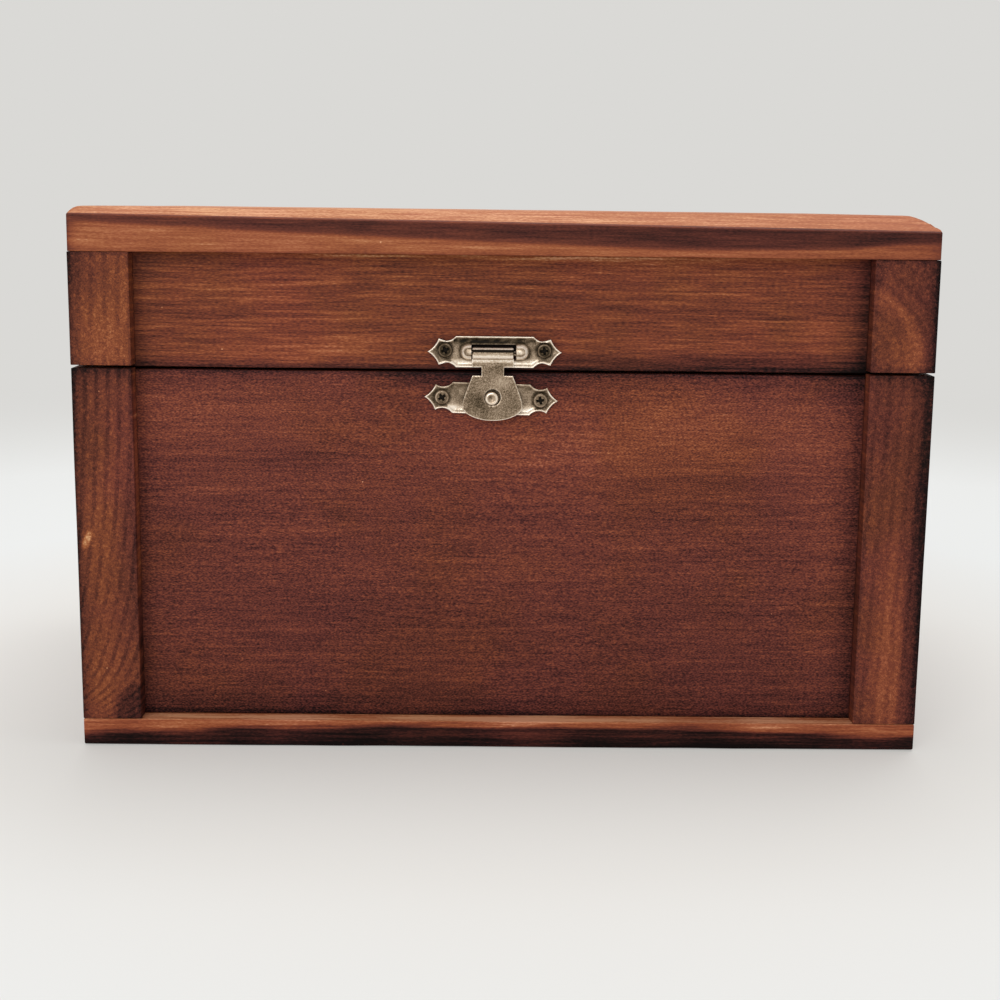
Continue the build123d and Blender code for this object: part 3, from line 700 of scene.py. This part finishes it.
makeBoard(
    "lid_top_board", "lid",
    dict(
        bandTone=-0.42, rimDepth=0.0, rubDepth=0.0, shift=(0.6, 0.8, 0.3), streakDepth=0.30, lineDepth=0.05,
        fibreDepth=0.35, poreDepth=0.35, sheen=0.08, tint=(0.98, 1.0, 0.92, 1.0),
        otherTint=(1.0, 0.99, 0.99, 1.0),
    ),
    (1.1, 1.1, 0.5), 0.3, topTone, 22, cuts=([-81.9, -81.7, -81.5, -81.2, -80.8, -80.4, -79.9], [], []),
    shape=planeBevels, band=topBand,
)
print("boards are made")


metalShades = [  # from grime and painted shade in the corners to metal rubbed bright or painted with a highlight
    (0.00, (26, 20, 13)), (0.22, (70, 57, 39)), (0.45, (126, 107, 86)),
    (0.65, (172, 151, 128)), (0.82, (218, 197, 172)), (1.00, (254, 240, 222)),
]
brassShades = [
    (0.00, (34, 26, 14)), (0.25, (92, 70, 34)), (0.50, (158, 128, 70)),
    (0.75, (200, 170, 106)), (1.00, (238, 214, 156)),
]
steelShades = [
    (0.00, (24, 22, 21)), (0.40, (84, 80, 76)), (0.70, (140, 137, 132)), (1.00, (190, 188, 184)),
]


def agedMetal(name, shades, finish, **changes):
    # one value picks the shade: base + rubbed places and painted highlights - grime and painted shade +
    # blotches + fine pitting + scratches
    look = {**finish, **changes}
    material = bpy.data.materials.new(name)
    tree = clearedTree(material)
    place = newNode(tree, "TexCoord").outputs["Object"]
    clouds = noise(tree, place, look["cloudScale"], 3.0, 0.6)
    pits = noise(tree, place, look["pitScale"], 2.0, 0.7)
    stretched = newNode(
        tree, "Mapping", {"Vector": place, "Rotation": (0.0, 0.6, 0.0), "Scale": (500.0, 3000.0, 9000.0)}
    )
    scratches = noise(tree, stretched.outputs[0], 1.0, 1.0)
    rub = lookUp(tree, "rub")
    value = sumOf(
        tree, (rub, look["rubGain"], 0.0), (lookUp(tree, "grime"), -look["grimeGain"], 0.0),
        (clouds, look["cloudDepth"], -0.5), (pits, look["pitDepth"], -0.5),
        (scratches, look["scratchDepth"], -0.5),
    )
    value = mathNode(tree, "ADD", value, look["base"])
    shade = newNode(tree, "ValToRGB", {"Fac": value})
    fillRamp(shade.color_ramp, shades)
    gloss = eased(tree, value, 0.1, 0.9, look["dullest"], look["shiniest"])
    height = sumOf(tree, (pits, 0.6, 0.0), (clouds, 0.3, 0.0), (scratches, 0.3, 0.0))
    bump = newNode(tree, "Bump", {"Height": height, "Strength": look["bump"], "Distance": 0.00005})
    skin = newNode(
        tree, "BsdfPrincipled",
        {"Base Color": shade.outputs["Color"], "Metallic": look["metal"], "Roughness": gloss,
         "Normal": bump.outputs[0], "Specular IOR Level": look["sheen"]},
    )
    newNode(tree, "OutputMaterial", {"Surface": skin.outputs[0]})
    return material


plainMetal = dict(
    base=0.45, rubGain=0.45, grimeGain=0.5, cloudScale=420.0, cloudDepth=0.5, pitScale=4200.0, pitDepth=0.35,
    scratchDepth=0.15, dullest=0.62, shiniest=0.24, bump=0.3, metal=1.0, sheen=0.5,
)
wornMetal = {**plainMetal, "metal": 0.55, "sheen": 0.2}
latchMetal = agedMetal(
    "paleBrassPlate", metalShades, wornMetal, metal=0.35, base=0.48, cloudDepth=0.8, pitDepth=0.8
)
flapMetal = agedMetal("flapSheet", metalShades, wornMetal, base=0.49, cloudDepth=0.35, pitDepth=1.1)
screwMetal = agedMetal("latchScrew", metalShades, wornMetal, base=0.22, cloudDepth=0.4, cloudScale=900.0)
lowerScrewMetal = agedMetal(
    "lowerLatchScrew", metalShades, wornMetal, base=0.42, grimeGain=0.28, cloudDepth=0.5, cloudScale=900.0
)
studMetal = agedMetal("studMetal", metalShades, wornMetal, base=0.44, cloudDepth=0.3, shiniest=0.18)
hingeBrass = agedMetal("hingeBrass", brassShades, plainMetal, base=0.55, cloudScale=260.0, cloudDepth=0.6)
nailSteel = agedMetal("nailSteel", steelShades, plainMetal)


def gridFaces(rows, columns, around=False):  # four-sided faces between the points of a grid, row after row
    index = np.arange(rows * columns).reshape(rows, columns)
    if around:
        index = np.concatenate([index, index[:, :1]], axis=1)
    return np.stack([index[:-1, :-1], index[:-1, 1:], index[1:, 1:], index[1:, :-1]], -1).reshape(-1, 4)


def thicken(front, back, faces):  # front and back of a sheet, joined by a wall where a side has one face only
    sides = np.stack([faces, np.roll(faces, -1, axis=1)], -1).reshape(-1, 2)
    sides = sides[sides[:, 0] != sides[:, 1]]
    key = sides.min(1) * len(front) + sides.max(1)
    place, times = np.unique(key, return_inverse=True, return_counts=True)[1:]
    rim = sides[times[place] == 1]
    walls = np.stack([rim[:, 1], rim[:, 0], rim[:, 0] + len(front), rim[:, 1] + len(front)], 1)
    return np.concatenate([front, back]), np.concatenate([faces, faces[:, ::-1] + len(front), walls])


def distanceTo(points, loop):  # shortest way from each point to a closed line of straight pieces
    start, along = loop, np.roll(loop, -1, axis=0) - loop
    toPoint = points[:, None] - start[None]
    share = np.clip((toPoint * along).sum(2) / np.maximum((along ** 2).sum(1), 1e-12), 0, 1)
    return np.linalg.norm(toPoint - share[..., None] * along, axis=2).min(1)


def frontFrame(centre, tilt=0.0):  # right, up and out of the front, turned within the front by the tilt
    turn = math.radians(tilt)
    right = np.array([math.cos(turn), 0.0, math.sin(turn)])
    up = np.array([-math.sin(turn), 0.0, math.cos(turn)])
    return np.array(centre), np.stack([right, up, [0.0, -1.0, 0.0]])


def arcThrough(first, middle, last, count):  # points along the circle through three points
    (ax, ay), (bx, by), (cx, cy) = first, middle, last
    area = 2 * (ax * (by - cy) + bx * (cy - ay) + cx * (ay - by))
    a, b, c = ax * ax + ay * ay, bx * bx + by * by, cx * cx + cy * cy
    middleX = (a * (by - cy) + b * (cy - ay) + c * (ay - by)) / area
    middleY = (a * (cx - bx) + b * (ax - cx) + c * (bx - ax)) / area
    centre = np.array([middleX, middleY])
    start, end = (np.arctan2(p[1] - centre[1], p[0] - centre[0]) for p in (first, last))
    end = start + (end - start + np.pi) % (2 * np.pi) - np.pi
    turn = np.linspace(start, end, count)
    return centre + np.hypot(ax - centre[0], ay - centre[1]) * np.stack([np.cos(turn), np.sin(turn)], 1)


def mergePoints(points, faces):  # one point where several lie together; also which of them it was
    first, back = np.unique(np.round(points, 4), axis=0, return_index=True, return_inverse=True)[1:]
    return points[first], back.reshape(-1)[faces], first


def makeMetal(name, points, faces, body, node, material, values):
    # merges the doubled points of poles and seams, and keeps real corners sharp
    points, faces, kept = mergePoints(points, faces)
    values = {title: data[kept] for title, data in values.items()}
    piece = makePiece(name, points, faces, body, [node], material, values)
    piece.data.set_sharp_from_angle(angle=math.radians(38))


# Latch plates
plate = dict(
    halfLength=12.875, halfHeight=2.975, shoulder=7.45, scallop=9.0, scallopDepth=0.9, cusp=10.75,
    cuspDrop=0.5, hollow=0.3, sheet=0.42, field=0.45, screwX=9.5, seat=1.5,
    rimAway=[0, 0.05, 0.13, 0.24, 0.42, 0.62, 0.82], rimRise=[0.36, 0.43, 0.45, 0.42, 0.25, 0.07, 0.0],
    windowLow=-4.5, windowHigh=4.1, windowTop=1.32, windowHalf=1.65, windowCorner=5.6,
    domeHalf=5.05, domeRadius=1.72, domeRise=2.5, domeLift=0.1,
)
plateSpots = {
    "latch_upper_plate": dict(centre=(-1.78, panelFront, 78.105), tilt=0.0, screwLift=0.3, body="lid"),
    "latch_lower_plate": dict(centre=(-2.38, panelFront, 69.095), tilt=-1.4, screwLift=0.0, body="base"),
}


def plateQuarter():  # from the pointed end over the cusp and the scallop to the middle of the upper edge
    top = plate["halfHeight"]
    cusp = np.array([plate["cusp"], top - plate["cuspDrop"]])
    tip = np.array([plate["halfLength"], 0.0])
    inwards = np.array([cusp[1], plate["halfLength"] - plate["cusp"]])
    bend = (cusp + tip) / 2 - plate["hollow"] * inwards / np.linalg.norm(inwards)
    point = arcThrough(tip, bend, cusp, 22)
    scallop = arcThrough(cusp, (plate["scallop"], top - plate["scallopDepth"]), (plate["shoulder"], top), 26)
    straight = np.stack([np.linspace(plate["shoulder"], 0, 26), np.full(26, top)], 1)
    return np.concatenate([point[:-1], scallop[:-1], straight])


def mirrored(quarter):  # the whole loop, anticlockwise from the right-hand end
    half = np.concatenate([quarter[:-1], quarter[::-1] * (-1, 1)])
    return np.concatenate([half[:-1], half[::-1][:-1] * (1, -1)])


def slotReach(u, v):  # distance from the housing's middle line: 0 on the line, 1 where the housing ends
    return np.hypot(np.maximum(np.abs(u) - plate["domeHalf"], 0), v - plate["domeLift"]) / plate["domeRadius"]


def plateHeight(u, v, away, toScrew, domed):
    # a field and a rim that rises towards the outline but not by the screws; the housing is half an ellipse
    # over a slot, left out over the window's upper half
    rise = np.interp(away, plate["rimAway"], plate["rimRise"])
    height = plate["field"] + rise * np.clip((toScrew - plate["seat"] + 0.02) / 0.12, 0, 1)
    if not domed:
        return height
    overWindow = (u > plate["windowLow"] + 0.01) & (u < plate["windowHigh"] - 0.01) & (v > 0.5)
    dome = plate["domeRise"] * np.sqrt(np.maximum(1 - slotReach(u, v) ** 2, 0)) * ~overWindow
    blended = np.log(np.exp(height * 8) + np.exp(dome * 8)) / 8
    return np.minimum(blended, plate["domeRise"] + 0.04)


def plateSheet(domed):
    # from the outline inwards to the window, or to a line along the middle: fine rows over the rim, then even
    loop = mirrored(plateQuarter())
    if domed:
        corner = plate["windowCorner"]
        side = np.abs(loop[:, 0]) > corner
        quarterUp = np.interp(np.abs(loop[:, 0]), [corner, plate["halfLength"]], [1.0, 0.0])
        quarterUp = np.sqrt(quarterUp) * 0.4 + quarterUp * 0.6
        middle = (plate["windowLow"] + plate["windowHigh"]) / 2
        halfWindow = (plate["windowHigh"] - plate["windowLow"]) / 2
        innerX = middle + halfWindow * np.clip(loop[:, 0] / corner, -1, 1)
        halfHeight = np.where(loop[:, 1] > 0, plate["windowTop"], -plate["windowHalf"]) * (loop[:, 1] != 0)
        innerY = halfHeight * np.where(side, quarterUp, 1.0) + plate["domeLift"]
        inner = np.stack([innerX, innerY], 1)
    else:
        inner = np.stack([np.clip(loop[:, 0] * 0.8, -10.0, 10.0), np.zeros(len(loop))], 1)
    span = np.linalg.norm(inner - loop, axis=1)
    offsets = np.array([0, 0.03, 0.07, 0.12, 0.18, 0.25, 0.33, 0.42, 0.52, 0.62, 0.74, 0.88])
    near = np.minimum(offsets[:, None] / span, 0.85 * offsets[:, None] / offsets[-1])
    far = near[-1] + (1 - near[-1]) * np.linspace(0, 1, 41)[1:, None]
    share = np.concatenate([near, far])[..., None]
    return loop, (1 - share) * loop + share * inner


def plateWearAndLight(front, away, toScrew, domed):
    # rubbed and painted bright along the outline, the lower edge and the housing's ridges, painted highlights
    # and reflections;
    # dark along the top, painted reflection and shade with grime; grimy round the screws and round the
    # housing
    u, v = front[:, :2].T
    # bright along the outline and the lower edge: wear with a painted highlight of the light from above
    rub = 1.4 * bell(away, 0, 0.25) + 1.1 * bell(v, -2.1, 0.75) * (np.abs(u) < 8.4)
    rub += 0.35 * bell(np.abs(u), 7.6, 0.6) * bell(v, -0.6, 1.4)
    # the dark band under the top rim is painted reflection and shade with grime
    grime = (1.0 if domed else 0.35) * bell(v, 2.1, 0.5) * (np.abs(u) < 7.9) + 0.6 * bell(toScrew, 1.55, 0.3)
    if domed:
        inSlot = slotReach(u, v)
        ends = np.abs(u) > 4.2
        # the housing's ring is a painted highlight and its middle a painted dark reflection
        rub += (1.5 * bell(inSlot, 0.62, 0.15) + 0.9 * bell(inSlot, 0, 0.28)) * ends
        grime += 0.5 * bell(inSlot, 1.02, 0.12) + 0.3 * bell(inSlot, 0.40, 0.06) * ends
    else:
        # the lower plate's upper edge is painted dull, as shaded
        rub *= 1 - 0.65 * np.clip(v - 1.5, 0, 1)
    grime *= 0.75 + 0.35 * ripple(front, 1.5, 9)
    rub *= 1 - np.clip(grime, 0, 1) * (away > 0.15)
    return rub, grime


for node, spot in plateSpots.items():
    domed = node == "latch_upper_plate"
    loop, sheet = plateSheet(domed)
    flat = sheet.reshape(-1, 2)
    u, v = flat.T
    away = distanceTo(flat, loop)
    toScrew = np.hypot(np.abs(u) - plate["screwX"], v - spot["screwLift"])
    height = plateHeight(u, v, away, toScrew, domed)
    front = np.column_stack([flat, height])
    back = np.column_stack([flat, np.maximum(height - plate["sheet"], 0.0)])
    local, faces = thicken(front, back, gridFaces(*sheet.shape[:2], around=True))
    centre, axes = frontFrame(spot["centre"], spot["tilt"])
    rub, grime = plateWearAndLight(front, away, toScrew, domed)
    values = {"rub": np.concatenate([rub, rub * 0]), "grime": np.concatenate([grime, grime * 0 + 0.8])}
    name = "latchUpperPlate" if domed else "latchLowerPlate"
    makeMetal(name, centre + local @ axes, faces, spot["body"], node, latchMetal, values)


# Screws of the latch: a low dome with a worn cross in it, and a pointed shank
screwShape = dict(
    head=1.45, top=0.85, shank=0.7, length=5.2, tip=1.3, crossHalf=0.72, crossWide=0.2, crossDeep=0.5
)


def turned(profile, count):  # a profile of radius and height carried round the axis
    turn = np.arange(count) * 2 * np.pi / count
    ring = np.stack([np.cos(turn), np.sin(turn)], 1)
    heights = np.broadcast_to(profile[:, None, 1:], (len(profile), count, 1))
    points = np.concatenate([profile[:, None, :1] * ring, heights], 2)
    return points.reshape(-1, 3), gridFaces(len(profile), count, around=True)[:, ::-1]


def crossScrew(name, node, body, centre, axes, turn, material, seed):
    # a domed head with a cross pressed into it, whose arms widen and narrow a little, above a pointed shank
    size = screwShape
    radius = np.concatenate([np.linspace(0, 1.0, 34), np.linspace(1.0, size["head"], 12)[1:]])
    crown = size["top"] * (1 - 0.06 * radius ** 2) - 0.42 * np.clip((radius - 1.02) / 0.43, 0, 1) ** 2.2
    profile = np.concatenate([
        np.stack([radius, crown], 1),
        [(size["head"], 0.25), (size["head"] - 0.02, 0.0), (size["shank"], 0.0)],
        [(size["shank"], size["tip"] - size["length"]), (0.0, -size["length"])],
    ])
    points, faces = turned(profile, 96)
    x, y, height = points.T
    angle = math.radians(turn)
    across = np.abs(x * math.cos(angle) + y * math.sin(angle))
    along = np.abs(y * math.cos(angle) - x * math.sin(angle))
    reach = np.hypot(x, y)
    worn = 0.05 * ripple(points, 1.1, seed) + 0.10 * bell(reach, 0, 0.4)
    arms = np.minimum(
        np.maximum(across - size["crossHalf"], along - size["crossWide"]),
        np.maximum(along - size["crossHalf"], across - size["crossWide"]),
    ) - worn
    inside = np.clip(0.5 - arms / 0.16, 0, 1)
    sunk = inside ** 2 * (3 - 2 * inside) * (height > 0.3)
    points[:, 2] -= size["crossDeep"] * sunk
    patchy = 0.5 + 0.5 * ripple(points, 2.2, seed + 3)
    rub = 0.8 * bell(reach, 1.18, 0.14) * patchy + 0.3 * bell(arms, 0, 0.08)
    # the cross and the edge under the head are darkened: grime with painted shade
    grime = sunk * 1.8 + 0.7 * (reach > 1.36) + 0.25 * bell(reach, 0.9, 0.12)
    values = {"rub": rub, "grime": grime}
    makeMetal(name, centre + points @ axes, faces, body, node, material, values)


seed = 40
for level, node, turns, metal in (
    ("Upper", "latch_upper_plate", (22, 8), screwMetal),
    ("Lower", "latch_lower_plate", (35, 12), lowerScrewMetal),
):
    spot = plateSpots[node]
    centre, axes = frontFrame(spot["centre"], spot["tilt"])
    for side, sign, turn in (("Left", -1, turns[0]), ("Right", 1, turns[1])):
        seat = centre + axes.T @ np.array([sign * plate["screwX"], spot["screwLift"], plate["field"]])
        seed += 1
        crossScrew(
            f"latch{level}Screw{side}", f"latch_{level.lower()}_screw_{side.lower()}", spot["body"], seat,
            axes, turn, metal, seed,
        )

# Stud that holds the flap shut
stud = dict(
    place=(-2.28, panelFront, 69.295), radius=1.3, top=2.6, round=0.42, dimple=0.70, dimpleDeep=0.25,
    tail=0.8, foot=0.45,
)
corner = np.linspace(0, np.pi / 2, 9)
dish = np.linspace(0, 1, 12)
studProfile = np.concatenate([
    np.stack([dish * stud["dimple"], stud["top"] - stud["dimpleDeep"] * (1 - dish ** 2)], 1),
    np.stack([
        stud["radius"] - stud["round"] * (1 - np.sin(corner)),
        stud["top"] - stud["round"] * (1 - np.cos(corner)),
    ], 1),
    [(stud["radius"], stud["foot"]), (stud["tail"], stud["foot"]), (stud["tail"], 0.0), (0.0, 0.0)],
])
points, faces = turned(studProfile, 64)
centre, axes = frontFrame(stud["place"])
x, y, height = points.T
worn = (0.5 + 0.7 * bell(np.hypot(x, y), 1.0, 0.2)) * (height > 2.2)
# painted shade: dark in the dimple's upper left and on the stud's side below the cap
paintedStudShade = 0.7 * bell(np.hypot(x + 0.25, y - 0.3), 0, 0.35) + 0.9 * (height < 2.0)
makeMetal(
    "latchStud", centre + points @ axes, faces, "base", "latch_stud", studMetal,
    {"rub": worn, "grime": paintedStudShade},
)

# Flap: a flared tongue, neck and tab in one sheet, hanging from a rolled barrel
flap = dict(
    pivot=(-2.13, -52.45, 77.905), standOff=1.3, sheet=0.5, edge=0.13, barrel=1.25, barrelHalf=3.95,
    axle=0.45, axleHalf=4.95, tabHalf=4.0, tabDrop=2.55, neckHalf=2.15, neckDrop=4.3,
    shoulderHalf=3.875, flareHalf=6.45,
    flareDrop=10.9, bottom=12.95, soft=1.3, holeDrop=8.45, hole=1.6,
)
endRise = flap["bottom"] - flap["flareDrop"]
endRadius = (flap["flareHalf"] ** 2 + endRise ** 2) / (2 * endRise)  # of the rounded lower end
pivotOut = panelFront - flap["pivot"][1]


def flapWidths(v):  # half width of the sheet, and of the hole in it, at each height below the pivot
    arc = np.sqrt(np.maximum(endRadius ** 2 - (v + flap["bottom"] - endRadius) ** 2, 0))
    slope = (flap["flareHalf"] - flap["shoulderHalf"]) / (flap["flareDrop"] - flap["neckDrop"])
    flank = flap["shoulderHalf"] + slope * (-flap["neckDrop"] - v)
    rounded = -flap["soft"] * np.logaddexp(-flank / flap["soft"], -arc / flap["soft"])
    tongue = np.where(v < -flap["flareDrop"] + 5, rounded, flank)
    tongue = np.maximum(np.where(arc < 1.5, arc, tongue), 0)
    aboveTongue = np.where(v > -flap["tabDrop"], flap["tabHalf"], flap["neckHalf"])
    outer = np.where(v > -flap["neckDrop"], aboveTongue, tongue)
    inner = np.sqrt(np.maximum(flap["hole"] ** 2 - (v + flap["holeDrop"]) ** 2, 0))
    return outer, inner


def flapRows():  # heights below the pivot: close together at the lower end and the hole, paired at each step
    lowRows = -flap["bottom"] + endRadius - np.sqrt(endRadius ** 2 - np.linspace(0, 5.9, 34) ** 2)
    holeRows = -flap["holeDrop"] + flap["hole"] * np.sin(np.linspace(-np.pi / 2, np.pi / 2, 30))
    steps = [-flap[drop] + side for drop in ("neckDrop", "tabDrop") for side in (-0.01, 0.01)]
    rows = np.concatenate([
        lowRows, np.linspace(lowRows[-1], holeRows[0], 6), holeRows, np.linspace(holeRows[-1], steps[0], 14),
        steps, np.linspace(steps[1], steps[2], 8), np.linspace(steps[3], -1.0, 8),
    ])
    return np.unique(np.round(rows, 4))


def flapSheet():
    # right and left halves between the hole and the outline, merged and thickened, the front edges rounded
    rows = flapRows()
    outer, inner = flapWidths(rows)
    share = np.concatenate([np.linspace(0, 1, 22)[:-1], 1 - np.array([0.14, 0.09, 0.05, 0.02]) / 6, [1.0]])
    half = inner[:, None] + share * (outer - inner)[:, None]
    heights = np.broadcast_to(rows[:, None], half.shape)
    flat = np.concatenate([np.stack([sign * half, heights], -1).reshape(-1, 2) for sign in (1, -1)])
    faces = gridFaces(*half.shape)
    flat, faces, kept = mergePoints(flat, np.concatenate([faces, faces[:, ::-1] + half.size]))
    outline = np.concatenate([np.column_stack([outer, rows]), np.column_stack([-outer, rows])[::-1]])
    turn = np.linspace(0, 2 * np.pi, 72, endpoint=False)
    hole = flap["hole"] * np.stack([np.cos(turn), np.sin(turn)], 1) - (0, flap["holeDrop"])
    away = np.minimum(distanceTo(flat, outline), distanceTo(flat, hole))
    fall = 1 - np.clip(away / flap["edge"], 0, 1)
    drop = 0.6 * flap["edge"] * (1 - np.sqrt(1 - fall ** 2)) * (flat[:, 1] < -1.2)
    front = np.column_stack([flat, flap["standOff"] + flap["sheet"] - drop])
    back = np.column_stack([flat, np.full(len(flat), flap["standOff"])])
    return flat, away, *thicken(front, back, faces)


def flapBarrel():  # a stepped roll about the pivot, from one axle end to the other
    end = np.array([
        (0.0, -flap["axleHalf"]), (0.40, -flap["axleHalf"]), (flap["axle"], -flap["axleHalf"] + 0.05),
        (flap["axle"], -flap["barrelHalf"]), (1.05, -flap["barrelHalf"]), (1.18, -flap["barrelHalf"] + 0.05),
        (flap["barrel"], -flap["barrelHalf"] + 0.16),
    ])
    middle = np.column_stack([np.full(24, flap["barrel"]), np.linspace(-3.7, 3.7, 24)])
    roll, faces = turned(np.concatenate([end, middle, end[::-1] * (1, -1)]), 96)
    return np.column_stack([roll[:, 2], roll[:, 1], roll[:, 0] + pivotOut]), faces


def sheetWear(flat, away):  # rubbed along the edges, the tab and the neck's right; three soft smudges
    x, v = flat.T
    rub = (1.0 + 0.6 * (v < -11)) * bell(away, 0, 0.14)
    rub += 0.9 * np.clip((v + 1.9) / 0.3, 0, 1) + 0.12 * bell(v, -2.2, 0.4)
    rub += 0.35 * bell(x, 1.8, 1.8) * bell(v, -5.6, 1.0)
    smudge = 0.45 * bell(x, -3.0, 2.4) * bell(v, -9.2, 2.0) + 0.2 * bell(x, 4.0, 1.4) * bell(v, -9.8, 1.6)
    smudge += 0.22 * bell(v, -3.1, 0.9)
    return np.concatenate([rub, rub]), np.concatenate([smudge, smudge * 0 + 0.5])


def barrelReflectionsAndShade(roll):  # painted reflections and shade: a dark line above the front, a bright one over it, and a pale lower side
    spin = np.arctan2(roll[:, 1], roll[:, 2] - pivotOut)  # 0 faces out of the front, a quarter turn faces up
    rub = 1.3 * bell(spin, -0.55, 0.45) + 3.2 * bell(spin, 0.88, 0.14)
    grime = 1.6 * np.exp(-((spin - 0.46) / 0.22) ** 4) + 1.2 * (spin > 1.06)
    grime += 0.8 * (np.abs(roll[:, 0]) > 3.9)
    return rub, grime


flat, away, sheet, sheetFaces = flapSheet()
roll, rollFaces = flapBarrel()
centre, axes = frontFrame((flap["pivot"][0], panelFront, flap["pivot"][2]))
rub, grime = (np.concatenate(parts) for parts in zip(sheetWear(flat, away), barrelReflectionsAndShade(roll)))
makeMetal(
    "latchFlap", centre + np.concatenate([sheet, roll]) @ axes,
    np.concatenate([sheetFaces, rollFaces + len(sheet)]),
    "latch_flap", "latch_flap", flapMetal, {"rub": rub, "grime": grime},
)
print("latch is made")


def dress(node, material):
    nodes[node].data.materials.clear()
    nodes[node].data.materials.append(material)


for node in nodes:
    if node.startswith("hinge"):
        dress(node, hingeBrass)
    elif node.startswith("bottom_brad"):
        dress(node, nailSteel)
print("metals are dressed")

low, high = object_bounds()
